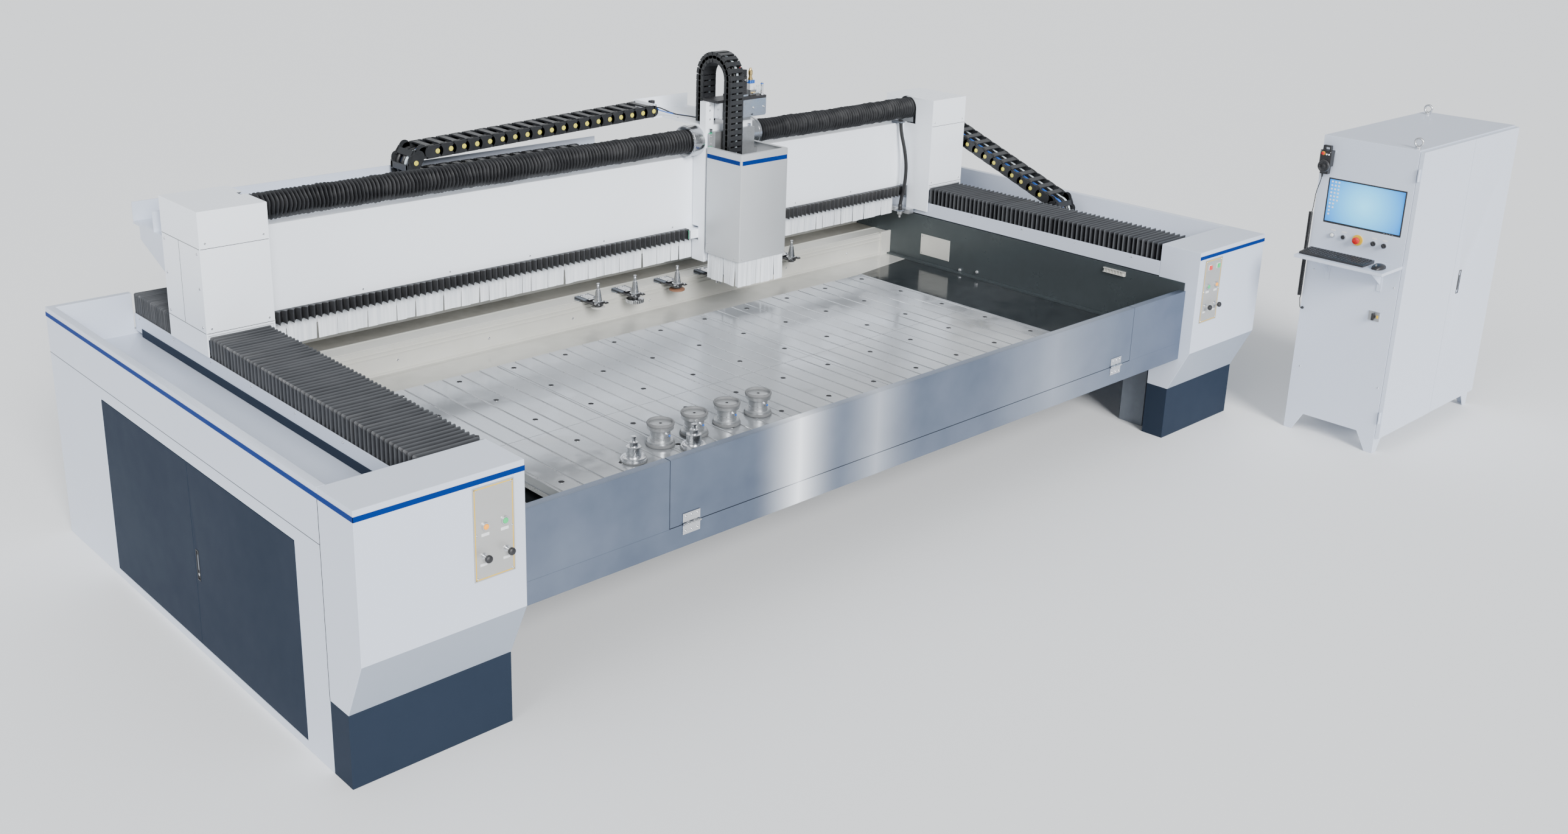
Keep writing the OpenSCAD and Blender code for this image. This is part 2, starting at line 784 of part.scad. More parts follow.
module z_drive() {
    x0 = carriage_x + 62;
    color("gray") place() {
        box(x0, x0 + 340, car_y0 - 73, car_y0 + 51, 1790, 1890);
        box(x0 - 40, x0 + 340, car_y0 - 73, car_y0 + 51, 1890, 1906);
        box(x0 + 150, x0 + 290, car_y0 + 2, car_y0 + 50, deck_z + 10, 1790);
        box(x0 + 110, x0 + 210, car_y0 - 55, car_y0 + 45, 1906, 2060);
        post(x0 + 160, car_y0 - 5, 2060, 2075, 30);
        box(x0 + 245, x0 + 290, car_y0 - 40, car_y0 + 20, 1906, 1990);
        post(x0 + 268, car_y0 - 10, 1990, 2060, 14);
        post(x0 + 315, car_y0 - 60, 1906, 1980, 8);
        post(carriage_x - 22, xc_y0 + 60, deck_z + 10, 1840, 15);
        box(carriage_x - 40, carriage_x - 4, xc_y0 + 42, xc_y0 + 78, 1790, 1815);
    }
}

module z_slide() {
    color("whitesmoke") place() {
        box(box_x0 + 30, box_x1 - 30, box_y1 - 33, box_y1 - 5, box_z, 1725);
        for (x = [carriage_x + 10, car_x1 - 52], z = [1100, 1400, 1640]) {
            box(x, x + 42, box_y1 - 6, car_y0 - 13, z, z + 70);
        }
        for (x = [box_x0 + 4, box_x1 - 55]) box(x, x + 51, box_y1 - 28, box_y1 - 18, 1100, 1600);
        difference() {
            union() {
                post(spindle_x, spindle_y, nose_z, 1500, 70);
                box(spindle_x - 90, spindle_x + 90, spindle_y, box_y1 - 33, 1100, 1400);
            }
            post(spindle_x, spindle_y, nose_z - 1, 1440, 45.06);
        }
        box(zc_x0, zc_x1, zc_front, box_y1 - 33, 1531, 1540);
    }
}

module z_box() {
    top = box_z + zbox_h;
    color("silver") place() difference() {
        box(box_x0, box_x1, box_y0, box_y1, box_z, top);
        box(box_x0 + 4, box_x1 - 4, box_y0 + 4, box_y1 + 1, box_z - 1, top + 1);
    }
}

module brush_skirt() {
    color("white") place() difference() {
        box(box_x0 + 10, box_x1 - 10, box_y0 + 10, box_y1 - 10, 858, box_z - 0.5);
        box(box_x0 + 16, box_x1 - 16, box_y0 + 16, box_y1 - 16, 857, box_z + 1);
    }
}

module spindle_rotor() {
    color("silver") place() difference() {
        union() {
            post(spindle_x, spindle_y, nose_z - 12, 1430, 45);
            post(spindle_x, spindle_y, nose_z - 45, nose_z - 12, 44);
        }
        post(spindle_x, spindle_y, nose_z - 46, nose_z + 15, 22.3);
    }
}

// ---------- control cabinet ----------
// Tapered foot in the plane of a cabinet wall, along X
module foot_x(x0, y0, right) {
    tip = right ? 50 : 0;
    translate([x0, y0 + 6, 0]) rotate([90, 0, 0]) linear_extrude(6)
        polygon([[tip, 0], [tip + 50, 0], [right ? 100 : 110, cab_leg], [right ? -10 : 0, cab_leg]]);
}

module foot_y(x0, y0, back) {
    tip = back ? 50 : 0;
    translate([x0, y0, 0]) rotate([90, 0, 90]) linear_extrude(6)
        polygon([[tip, 0], [tip + 50, 0], [back ? 100 : 110, cab_leg], [back ? -10 : 0, cab_leg]]);
}

module cabinet_shell() {
    front = cab_y + door_t + 2;
    color(painted) place() {
        difference() {
            box(cab_x, cab_x1, front, cab_y1, cab_leg, cabinet_h);
            box(cab_x + cab_wall, cab_x1 - cab_wall, front - 1, cab_y1 - cab_wall,
                cab_leg + cab_wall, cabinet_h - cab_wall);
            box(cab_x - 1, cab_x + cab_wall + 1, -769, -312, 1290, 1552);
        }
        for (y = [front, cab_y1 - 6]) {
            foot_x(cab_x, y, false);
            foot_x(cab_x1 - 100, y, true);
        }
        for (x = [cab_x, cab_x1 - 6]) {
            foot_y(x, front, false);
            foot_y(x, cab_y1 - 100, true);
        }
    }
}

module cabinet_door_front() {
    color(painted) place() {
        box(cab_x + 2, cab_x + 665, cab_y, cab_y + door_t, cab_leg - 12, cabinet_h - 8);
        for (z = [226, 1653]) {
            post(cab_x - 7, cab_y + 12, z - 35, z + 35, 6);
            box(cab_x - 7, cab_x + 2, cab_y + 9, cab_y + 15, z - 35, z + 35);
        }
    }
}

module cabinet_door_rear() {
    x0 = cab_x + 668;
    handle_x = cab_x + 760;
    color(painted) place() difference() {
        box(x0, cab_x1 - 2, cab_y, cab_y + door_t, cab_leg - 12, cabinet_h - 8);
        box(handle_x - 14, handle_x + 14, cab_y - 1, cab_y + 12, 840, 980);
    }
    color("black") place() box(handle_x - 10, handle_x + 10, cab_y + 3, cab_y + 12, 846, 974);
}

module monitor() {
    color("black") place() box(cab_x + 2, cab_x + 40, -768, -313, 1291, 1551);
}

module keyboard_shelf() {
    color(painted) place() {
        box(cab_x - 250, cab_x, -810, -290, 1116, 1134);
        for (y = [-398, -711]) {
            box(cab_x - 4, cab_x, y, y + 30, 960, 1116);
            box(cab_x - 190, cab_x - 4, y, y + 30, 1112, 1116);
            profile_gusset(y + 13);
        }
    }
}

module profile_gusset(y) {
    translate([cab_x - 4, y + 4, 1112]) rotate([90, 0, 0]) linear_extrude(4)
        polygon([[0, 0], [-150, 0], [-150, -12], [0, -110]]);
}

module keyboard_mouse() {
    color("black") place() {
        difference() {
            box(cab_x - 215, cab_x - 75, -680, -300, 1134, 1154);
            for (row = [0 : 4]) box(cab_x - 208 + row * 26, cab_x - 186 + row * 26, -673, -307, 1150, 1155);
        }
        box(cab_x - 210, cab_x - 100, -775, -712, 1134, 1162);
    }
}

module eye_bolt(x, y) {
    post(x, y, cabinet_h, cabinet_h + 12, 16);
    translate([x, y, cabinet_h + 34]) rotate([0, 90, 0]) rotate_extrude() translate([22, 0]) circle(r = 6);
}

module cabinet_ring(y, r_out, r_in, depth) {
    translate([cab_x - depth, y, cab_row_z]) rotate([0, 90, 0]) difference() {
        cylinder(h = depth, r = r_out);
        translate([0, 0, -1]) cylinder(h = depth - 1, r = r_in);
    }
}

module cabinet_fittings() {
    color("silver") place() {
        eye_bolt(cab_x + 45, cab_y + 60);
        eye_bolt(cab_x1 - 90, cab_y1 - 60);
        box(cab_x - 4, cab_x, isolator_y - 33, isolator_y + 33, isolator_z - 28, isolator_z + 28);
        along_x(cab_x - 12, cab_x, lamp_y, cab_row_z, 14);
        cabinet_ring(cab_button_y, 15, 11.4, 10);
        cabinet_ring(estop_y, 30, 12.4, 6);
        for (y = selector_ys) cabinet_ring(y, 15, 8.4, 8);
        along_x(cab_x - 15, cab_x, gland_y, gland_z, 8);
        box(cab_x - 9, cab_x, -330, -262, 1700, 1712);
    }
}

module estop_button() {
    color("red") place() {
        along_x(cab_x - 36, cab_x - 18, estop_y, cab_row_z, 20);
        along_x(cab_x - 18, cab_x - 7.5, estop_y, cab_row_z, 12);
    }
}

module cabinet_button() {
    color("black") place() along_x(cab_x - 14, cab_x - 6, cab_button_y, cab_row_z, 11);
}

module selector(y) {
    color("black") place() {
        along_x(cab_x - 12, cab_x - 3, y, cab_row_z, 8);
        along_x(cab_x - 14, cab_x - 9, y, cab_row_z, 13);
        translate([cab_x - 26, y, cab_row_z]) rotate([-30, 0, 0]) translate([0, -4, -11]) cube([13, 8, 22]);
    }
}

module selector_one() {
    selector(selector_ys[0]);
}

module selector_two() {
    selector(selector_ys[1]);
}

module isolator_handle() {
    color("black") place() {
        along_x(cab_x - 12, cab_x - 4.5, isolator_y, isolator_z, 12);
        box(cab_x - 26, cab_x - 12, isolator_y - 6, isolator_y + 6, isolator_z - 20, isolator_z + 20);
    }
}

module pendant() {
    color("black") place() {
        box(cab_x - 50, cab_x - 10, -330, -262, 1620, 1712);
        box(cab_x - 46, cab_x - 14, -320, -272, 1575, 1620);
        difference() {
            box(cab_x - 42, cab_x - 20, -320, -272, 1712, 1740);
            box(cab_x - 43, cab_x - 19, -310, -282, 1711, 1730);
        }
    }
}

module handwheel() {
    color("black") place() {
        along_x(cab_x - 66, cab_x - 52, -296, 1622, 34);
        along_x(cab_x - 78, cab_x - 66, -296 + 20, 1622, 6);
    }
}

module pendant_lead() {
    color("black") place() {
        sweep(lead_low, lead_r, 8, [0, 1, 0.2]);
        sweep(lead_high, lead_r, 8, [0, 1, 0.2]);
    }
}

module pendant_coil() {
    color("black") place() post(coil_x, coil_y, coil_z0, coil_z1, coil_r);
}

base_frame();
housing_left();
housing_right();
front_covers();
plinths();
rail_beds();
guard_strips();
basin();
fascia();
fascia_flap();
table_plates();
tool_forks();
tool_holders();
vacuum_cups();
control_plates();
front_bellows();
rear_bellows();
door_left_front();
door_left_rear();
gantry_column_left();
gantry_column_right();
cross_beam();
beam_rails();
strip_curtain();
tube_bellows();
strip_bellows();
chain_tray();
tool_setter();
setter_hose();
x_chain_run();
x_chain_loop();
y_chain_run();
y_chain_loop();
carriage_plate();
z_drive();
z_chain();
z_slide();
z_box();
brush_skirt();
spindle_rotor();
cabinet_shell();
cabinet_door_front();
cabinet_door_rear();
monitor();
keyboard_shelf();
keyboard_mouse();
cabinet_fittings();
estop_button();
cabinet_button();
selector_one();
selector_two();
isolator_handle();
pendant();
handwheel();
pendant_lead();
pendant_coil();
stop_button_left();
start_button_left();
start_button_right();
stop_button_right();
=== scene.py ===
import json
import math
import random

import bmesh
import bpy
from mathutils import Matrix, Vector
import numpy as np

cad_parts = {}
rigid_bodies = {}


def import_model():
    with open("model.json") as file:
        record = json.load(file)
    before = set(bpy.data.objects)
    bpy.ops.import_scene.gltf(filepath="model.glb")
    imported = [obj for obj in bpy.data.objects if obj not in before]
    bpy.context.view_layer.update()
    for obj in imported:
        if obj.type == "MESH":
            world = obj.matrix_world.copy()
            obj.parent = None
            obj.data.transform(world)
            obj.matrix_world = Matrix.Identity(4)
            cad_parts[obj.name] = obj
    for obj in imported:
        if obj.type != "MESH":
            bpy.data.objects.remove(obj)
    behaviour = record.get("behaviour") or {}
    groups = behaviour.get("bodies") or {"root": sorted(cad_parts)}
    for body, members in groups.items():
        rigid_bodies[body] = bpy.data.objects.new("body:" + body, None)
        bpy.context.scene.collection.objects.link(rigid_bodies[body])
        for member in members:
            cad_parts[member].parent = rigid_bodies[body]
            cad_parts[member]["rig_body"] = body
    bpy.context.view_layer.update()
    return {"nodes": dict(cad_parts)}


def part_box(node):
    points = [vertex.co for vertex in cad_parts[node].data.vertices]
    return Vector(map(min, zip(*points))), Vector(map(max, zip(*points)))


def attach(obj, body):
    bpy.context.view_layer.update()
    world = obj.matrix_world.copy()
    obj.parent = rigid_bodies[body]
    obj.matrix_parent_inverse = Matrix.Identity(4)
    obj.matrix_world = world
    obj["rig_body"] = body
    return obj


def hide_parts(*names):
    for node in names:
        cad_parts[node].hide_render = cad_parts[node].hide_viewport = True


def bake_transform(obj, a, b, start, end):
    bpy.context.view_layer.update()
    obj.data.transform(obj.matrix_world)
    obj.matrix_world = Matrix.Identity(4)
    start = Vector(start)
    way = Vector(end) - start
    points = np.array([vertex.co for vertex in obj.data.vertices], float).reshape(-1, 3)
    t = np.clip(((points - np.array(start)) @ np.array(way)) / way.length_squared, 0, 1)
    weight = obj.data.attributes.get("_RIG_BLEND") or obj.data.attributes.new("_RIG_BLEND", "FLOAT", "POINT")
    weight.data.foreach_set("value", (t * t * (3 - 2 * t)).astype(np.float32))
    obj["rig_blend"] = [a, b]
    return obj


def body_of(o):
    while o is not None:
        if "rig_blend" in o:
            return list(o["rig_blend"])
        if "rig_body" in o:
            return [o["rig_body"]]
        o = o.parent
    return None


bl_info = {
    "name": "Bridge CNC router",
    "version": (1, 0, 0),
    "blender": (4, 5, 0),
    "location": "View3D > Sidebar > Router",
    "description": "Builds the looks of a bridge router and its control cabinet around its frame",
    "category": "Object",
}

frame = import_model()
NODES = frame["nodes"]

# The datum: the left housing's outer face, the front covers' face and the floor
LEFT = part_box("housing_left")[0][0]
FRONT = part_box("front_covers")[0][1]
MM = 0.001
ROOT = "machine_frame"


def at(x, y, z):
    """A point in the frame, in metres, from millimetres off the datum."""
    return Vector((LEFT + x * MM, FRONT + y * MM, z * MM))


def span(node):
    """A CAD node's box in millimetres off the datum: x0, x1, y0, y1, z0, z1."""
    low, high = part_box(node)
    low = [(low[0] - LEFT) / MM, (low[1] - FRONT) / MM, low[2] / MM]
    high = [(high[0] - LEFT) / MM, (high[1] - FRONT) / MM, high[2] / MM]
    return [round(v, 3) for pair in zip(low, high) for v in pair]


# ---------------------------------------------------------------- sizes and colours
class RouterSizes(bpy.types.PropertyGroup):
    """Sizes a user may change, in metres."""

    stripe: bpy.props.FloatProperty(
        name="Stripe height", description="Height of the blue stripe", default=0.021, unit="LENGTH")
    way_pleat: bpy.props.FloatProperty(
        name="Way cover pleat", description="Pitch of the way covers' folds", default=0.033, unit="LENGTH")
    tube_pleat: bpy.props.FloatProperty(
        name="Tube pleat", description="Pitch of the tube bellows' folds", default=0.021, unit="LENGTH")
    strip_pleat: bpy.props.FloatProperty(
        name="Strip pleat", description="Pitch of the beam bellows' folds", default=0.036, unit="LENGTH")
    link: bpy.props.FloatProperty(
        name="Chain link", description="Pitch of the bridge chain's links", default=0.080, unit="LENGTH")
    head_link: bpy.props.FloatProperty(
        name="Head chain link", description="Pitch of the head chain's links", default=0.034, unit="LENGTH")
    strip: bpy.props.FloatProperty(
        name="Curtain strip", description="Width of the curtain's strips", default=0.055, unit="LENGTH")
    coil_turn: bpy.props.FloatProperty(
        name="Coil pitch", description="Rise of the pendant lead's coil in one turn", default=0.0056,
        unit="LENGTH")


class RouterColours(bpy.types.PropertyGroup):
    """Colours a user may change."""

    shell: bpy.props.FloatVectorProperty(
        name="Shell", description="Painted sheet", subtype="COLOR", size=3, default=(0.55, 0.60, 0.70))
    beam: bpy.props.FloatVectorProperty(
        name="Beam", description="Painted beam and columns", subtype="COLOR", size=3,
        default=(0.86, 0.90, 0.96))
    navy: bpy.props.FloatVectorProperty(
        name="Navy", description="Doors and plinths", subtype="COLOR", size=3,
        default=(0.0178, 0.0262, 0.0430))
    stripe: bpy.props.FloatVectorProperty(
        name="Stripe", description="Accent stripe", subtype="COLOR", size=3, default=(0.0, 0.022, 0.16))
    disc: bpy.props.FloatVectorProperty(
        name="Pivot discs", description="Discs on the chain links", subtype="COLOR", size=3,
        default=(0.70, 0.62, 0.09))


def sizes():
    return bpy.context.scene.router_sizes


def colours():
    return bpy.context.scene.router_colours


# ---------------------------------------------------------------- shader groups
def new_group(name, inputs, outputs):
    group = bpy.data.node_groups.new(name, "ShaderNodeTree")
    for label, kind, value in inputs:
        socket = group.interface.new_socket(label, in_out="INPUT", socket_type=kind)
        socket.default_value = value
    for label, kind in outputs:
        group.interface.new_socket(label, in_out="OUTPUT", socket_type=kind)
    return group, group.nodes.new("NodeGroupInput"), group.nodes.new("NodeGroupOutput")


def math_node(tree, operation, a, b=None):
    node = tree.nodes.new("ShaderNodeMath")
    node.operation = operation
    for socket, value in zip(node.inputs, (a, b)):
        if value is None:
            continue
        if isinstance(value, (int, float)):
            socket.default_value = value
        else:
            tree.links.new(value, socket)
    return node.outputs[0]


def ramp(tree, factor, low, high):
    """Factor rising from 0 at low to 1 at high."""
    node = tree.nodes.new("ShaderNodeMapRange")
    tree.links.new(factor, node.inputs["Value"])
    node.inputs["From Min"].default_value = low
    node.inputs["From Max"].default_value = high
    return node.outputs["Result"]


def mix_colour(tree, factor, first, second):
    node = tree.nodes.new("ShaderNodeMix")
    node.data_type = "RGBA"
    for socket, value in ((node.inputs[0], factor), (node.inputs[6], first), (node.inputs[7], second)):
        if isinstance(value, (int, float)):
            socket.default_value = value
        elif isinstance(value, (tuple, list)):
            socket.default_value = (*value[:3], 1)
        else:
            tree.links.new(value, socket)
    return node.outputs[2]


def noise(tree, vector, scale, detail=3.0):
    node = tree.nodes.new("ShaderNodeTexNoise")
    node.inputs["Detail"].default_value = detail
    for socket, value in ((node.inputs["Scale"], scale), (node.inputs["Vector"], vector)):
        if isinstance(value, (int, float)):
            socket.default_value = value
        else:
            tree.links.new(value, socket)
    return node.outputs["Fac"]


def blotch_group():
    """Soft patches of a second colour, and the smudges that dull or polish a surface with them."""
    name = "Soft patches"
    if name in bpy.data.node_groups:
        return bpy.data.node_groups[name]
    group, given, out = new_group(name, [
        ("Colour", "NodeSocketColor", (0.5, 0.5, 0.5, 1)),
        ("Patch colour", "NodeSocketColor", (0.4, 0.4, 0.4, 1)), ("Scale", "NodeSocketFloat", 3.0),
        ("Amount", "NodeSocketFloat", 0.3), ("Roughness", "NodeSocketFloat", 0.5),
        ("Roughness spread", "NodeSocketFloat", 0.1)],
                                  [("Colour", "NodeSocketColor"), ("Roughness", "NodeSocketFloat"),
                                   ("Patches", "NodeSocketFloat")])
    place = group.nodes.new("ShaderNodeTexCoord").outputs["Object"]
    soft = noise(group, place, given.outputs["Scale"], 4.0)
    fine = noise(group, place, math_node(group, "MULTIPLY", given.outputs["Scale"], 7.3), 3.0)
    patches = ramp(group, math_node(group, "ADD", math_node(group, "MULTIPLY", soft, 0.7),
                                    math_node(group, "MULTIPLY", fine, 0.3)), 0.38, 0.66)
    share = math_node(group, "MULTIPLY", patches, given.outputs["Amount"])
    group.links.new(mix_colour(group, share, given.outputs["Colour"], given.outputs["Patch colour"]),
                    out.inputs["Colour"])
    swing = math_node(group, "MULTIPLY", math_node(group, "SUBTRACT", patches, 0.5),
                      given.outputs["Roughness spread"])
    group.links.new(math_node(group, "ADD", given.outputs["Roughness"], swing), out.inputs["Roughness"])
    group.links.new(patches, out.inputs["Patches"])
    return group


def grain_group():
    """Fine relief: orange peel, moulding grain, or brush lines when stretched along one axis."""
    name = "Fine grain"
    if name in bpy.data.node_groups:
        return bpy.data.node_groups[name]
    group, given, out = new_group(name, [
        ("Stretch", "NodeSocketVector", (1, 1, 1)), ("Scale", "NodeSocketFloat", 400.0)],
                                  [("Height", "NodeSocketFloat")])
    place = group.nodes.new("ShaderNodeTexCoord").outputs["Object"]
    stretch = group.nodes.new("ShaderNodeVectorMath")
    stretch.operation = "MULTIPLY"
    group.links.new(place, stretch.inputs[0])
    group.links.new(given.outputs["Stretch"], stretch.inputs[1])
    group.links.new(noise(group, stretch.outputs[0], given.outputs["Scale"], 2.0), out.inputs["Height"])
    return group


def place_group(tree, group, **values):
    node = tree.nodes.new("ShaderNodeGroup")
    node.node_tree = group
    for label, value in values.items():
        socket = node.inputs[label.replace("_", " ")]
        if isinstance(value, (tuple, list)) and len(value) == 3 and socket.type == "RGBA":
            value = (*value, 1)
        socket.default_value = value
    return node


# ---------------------------------------------------------------- finishes
# name: colour, patch colour, patches per metre, amount, roughness, spread, relief, grain scale, metallic,
# grain stretch. A row that stops early takes the rest from PLAIN_TAIL.
PLAIN_TAIL = (900, 0.0, (1, 1, 1))
FULL_ROW = 10
FINISHES = {
    "shell paint": ("shell", (0.52, 0.57, 0.67), 1.1, 0.25, 0.34, 0.06, 0.05, 700),
    "beam paint": ("beam", (0.83, 0.87, 0.93), 0.9, 0.25, 0.36, 0.06, 0.05, 700),
    # Painted shade: a darker shell tone for the front covers' down-facing faces.
    "toe paint": ((0.30, 0.34, 0.41), (0.27, 0.31, 0.38), 1.5, 0.3, 0.36, 0.06, 0.05, 700),
    "navy paint": ("navy", (0.0150, 0.0220, 0.0365), 1.6, 0.3, 0.6, 0.08, 0.08, 600),
    "stripe paint": ("stripe", (0.0, 0.019, 0.14), 4.0, 0.3, 0.5, 0.05, 0.03, 600),
    "frame paint": ((0.15, 0.17, 0.20), (0.10, 0.115, 0.14), 3.0, 0.6, 0.5, 0.15, 0.15, 300, 0.2),
    "dark gap": ((0.012, 0.012, 0.014), (0.02, 0.02, 0.022), 8.0, 0.5, 0.8, 0.1, 0.1, 300),
    "head steel": ((0.52, 0.54, 0.56), (0.46, 0.48, 0.50), 1.2, 0.4, 0.40, 0.06, 0.03, 500, 0.35,
                   (1, 1, 0.04)),
    "basin steel": ((0.68, 0.675, 0.63), (0.50, 0.49, 0.445), 1.1, 0.55, 0.40, 0.16, 0.08, 260, 0.4,
                    (0.05, 1, 1)),
    "stained steel": ((0.25, 0.235, 0.20), (0.17, 0.16, 0.135), 2.2, 0.7, 0.42, 0.2, 0.10, 260, 0.4,
                      (0.05, 1, 1)),
    "dark steel": ((0.070, 0.084, 0.090), (0.050, 0.059, 0.064), 1.8, 0.6, 0.34, 0.14, 0.03, 200, 0.5,
                   (0.2, 1, 1)),
    "groove steel": ((0.27, 0.275, 0.28), (0.40, 0.405, 0.41), 6.0, 0.7, 0.3, 0.2, 0.1, 300, 0.5,
                     (1, 0.05, 1)),
    "ground steel": ((0.62, 0.63, 0.65), (0.45, 0.46, 0.48), 9.0, 0.5, 0.24, 0.12, 0.04, 900, 1.0,
                     (1, 1, 0.1)),
    "zinc": ((0.68, 0.69, 0.71), (0.55, 0.56, 0.58), 30.0, 0.5, 0.28, 0.12, 0.04, 900, 1.0),
    "cast block": ((0.48, 0.49, 0.50), (0.34, 0.35, 0.36), 14.0, 0.6, 0.42, 0.2, 0.15, 350, 0.9),
    "profile": ((0.66, 0.67, 0.69), (0.58, 0.59, 0.61), 5.0, 0.4, 0.34, 0.08, 0.04, 700, 0.9, (1, 0.05, 1)),
    "chain nylon": ((0.013, 0.014, 0.016), (0.024, 0.025, 0.027), 12.0, 0.6, 0.44, 0.12, 0.15, 700),
    "disc yellow": ("disc", (0.58, 0.50, 0.06), 40.0, 0.5, 0.45, 0.1, 0.05),
    "black plastic": ((0.014, 0.014, 0.016), (0.028, 0.028, 0.030), 25.0, 0.5, 0.42, 0.12, 0.15, 1500),
    "white plastic": ((0.72, 0.73, 0.74), (0.64, 0.65, 0.67), 20.0, 0.5, 0.4, 0.1, 0.08, 1200),
    "grey rubber": ((0.16, 0.165, 0.17), (0.11, 0.112, 0.115), 30.0, 0.6, 0.7, 0.1, 0.15),
    "lead jacket": ((0.006, 0.006, 0.007), (0.014, 0.014, 0.015), 40.0, 0.5, 0.40, 0.1, 0.08),
    "hose blue": ((0.02, 0.10, 0.42), (0.03, 0.16, 0.55), 30.0, 0.5, 0.3, 0.1, 0.03),
    "hose clear": ((0.55, 0.62, 0.66), (0.40, 0.46, 0.50), 30.0, 0.5, 0.2, 0.1, 0.03),
    "seal green": ((0.02, 0.32, 0.16), (0.03, 0.42, 0.22), 30.0, 0.5, 0.45, 0.1, 0.08),
    "signal red": ((0.55, 0.012, 0.010), (0.42, 0.010, 0.010), 20.0, 0.4, 0.28, 0.08, 0.03),
    "signal yellow": ((0.72, 0.46, 0.02), (0.62, 0.40, 0.02), 20.0, 0.4, 0.35, 0.08, 0.03),
    "brass": ((0.62, 0.46, 0.20), (0.45, 0.32, 0.13), 40.0, 0.5, 0.3, 0.12, 0.04, 900, 1.0),
    "brown wheel": ((0.22, 0.105, 0.06), (0.14, 0.07, 0.04), 40.0, 0.6, 0.75, 0.1, 0.4, 600),
    "pale wheel": ((0.55, 0.55, 0.53), (0.44, 0.44, 0.42), 40.0, 0.6, 0.75, 0.1, 0.4, 600),
    "plate face": ((0.43, 0.43, 0.42), (0.38, 0.38, 0.37), 10.0, 0.3, 0.38, 0.06, 0.04, 700, 0.35,
                   (1, 1, 0.1)),
}


def finish(name):
    """A procedural material by its name, made the first time it is asked for."""
    if name in bpy.data.materials:
        return bpy.data.materials[name]
    if name in SPECIAL:
        return SPECIAL[name](name)
    row = FINISHES[name]
    row += PLAIN_TAIL[len(row) - FULL_ROW:] if len(row) < FULL_ROW else ()
    colour, patch, scale, amount, rough, spread, relief, grain, metal, stretch = row
    if isinstance(colour, str):
        colour = tuple(getattr(colours(), colour))
    material, tree, shader = blank_material(name)
    patches = place_group(tree, blotch_group(), Colour=colour, Patch_colour=patch, Scale=scale, Amount=amount,
                          Roughness=rough, Roughness_spread=spread)
    feed(tree, shader, patches)
    shader.inputs["Metallic"].default_value = metal
    if name in ("shell paint", "beam paint"):
        shader.inputs["Coat Weight"].default_value = 0.2
        shader.inputs["Coat Roughness"].default_value = 0.2
    elif "paint" in name:
        dull = "navy" in name or "stripe" in name
        shader.inputs["Specular IOR Level"].default_value = 0.07 if dull else 0.3
    grain_bump(tree, shader, stretch, grain, relief, 0.0004)
    return material


def blank_material(name):
    material = bpy.data.materials.new(name)
    material.use_nodes = True
    tree = material.node_tree
    shader = next(n for n in tree.nodes if n.type == "BSDF_PRINCIPLED")
    return material, tree, shader


def add_bump(tree, shader, height, strength, distance):
    bump = tree.nodes.new("ShaderNodeBump")
    bump.inputs["Strength"].default_value = min(1.0, strength * 4)
    bump.inputs["Distance"].default_value = distance
    tree.links.new(height, bump.inputs["Height"])
    tree.links.new(bump.outputs["Normal"], shader.inputs["Normal"])


def feed(tree, shader, patches):
    """Lets a patches group set the surface's colour and roughness."""
    tree.links.new(patches.outputs["Colour"], shader.inputs["Base Color"])
    tree.links.new(patches.outputs["Roughness"], shader.inputs["Roughness"])


def grain_bump(tree, shader, stretch, scale, strength, distance):
    """Raises the surface by its grain."""
    grain = place_group(tree, grain_group(), Stretch=stretch, Scale=scale)
    add_bump(tree, shader, grain.outputs["Height"], strength, distance)


def object_axis(tree, axis):
    """One coordinate of the piece's own place, in metres."""
    split = tree.nodes.new("ShaderNodeSeparateXYZ")
    tree.links.new(tree.nodes.new("ShaderNodeTexCoord").outputs["Object"], split.inputs[0])
    return split.outputs[axis]


def fascia_steel(name):
    """Bluish brushed sheet with painted reflections: soft upright pale bands in its colour, less metallic
    there.
    """
    material, tree, shader = blank_material(name)
    dull = place_group(tree, blotch_group(), Colour=(0.120, 0.150, 0.212), Patch_colour=(0.21, 0.25, 0.325),
                       Scale=0.7, Amount=0.9, Roughness=0.34, Roughness_spread=0.10)
    across = object_axis(tree, 0)
    tone = dull.outputs["Colour"]
    polish = 0.85
    # Painted reflection: each band mixes the colour towards near-white and lowers the metallic amount.
    for middle, reach, most in ((-1.46, 0.30, 1.0), (-0.95, 0.34, 0.36), (0.42, 0.8, 0.20)):
        away = math_node(tree, "ABSOLUTE", math_node(tree, "SUBTRACT", across, middle))
        near = math_node(tree, "SUBTRACT", 1.0, ramp(tree, away, 0.0, reach))
        soft = math_node(tree, "MULTIPLY", math_node(tree, "POWER", near, 2.0), most)
        tone = mix_colour(tree, soft, tone, (0.92, 0.95, 1.0))
        polish = math_node(tree, "SUBTRACT", polish, math_node(tree, "MULTIPLY", soft, 0.6))
    tree.links.new(tone, shader.inputs["Base Color"])
    tree.links.new(dull.outputs["Roughness"], shader.inputs["Roughness"])
    tree.links.new(polish, shader.inputs["Metallic"])
    grain_bump(tree, shader, (0.03, 1, 1), 420.0, 0.06, 0.0004)
    return material


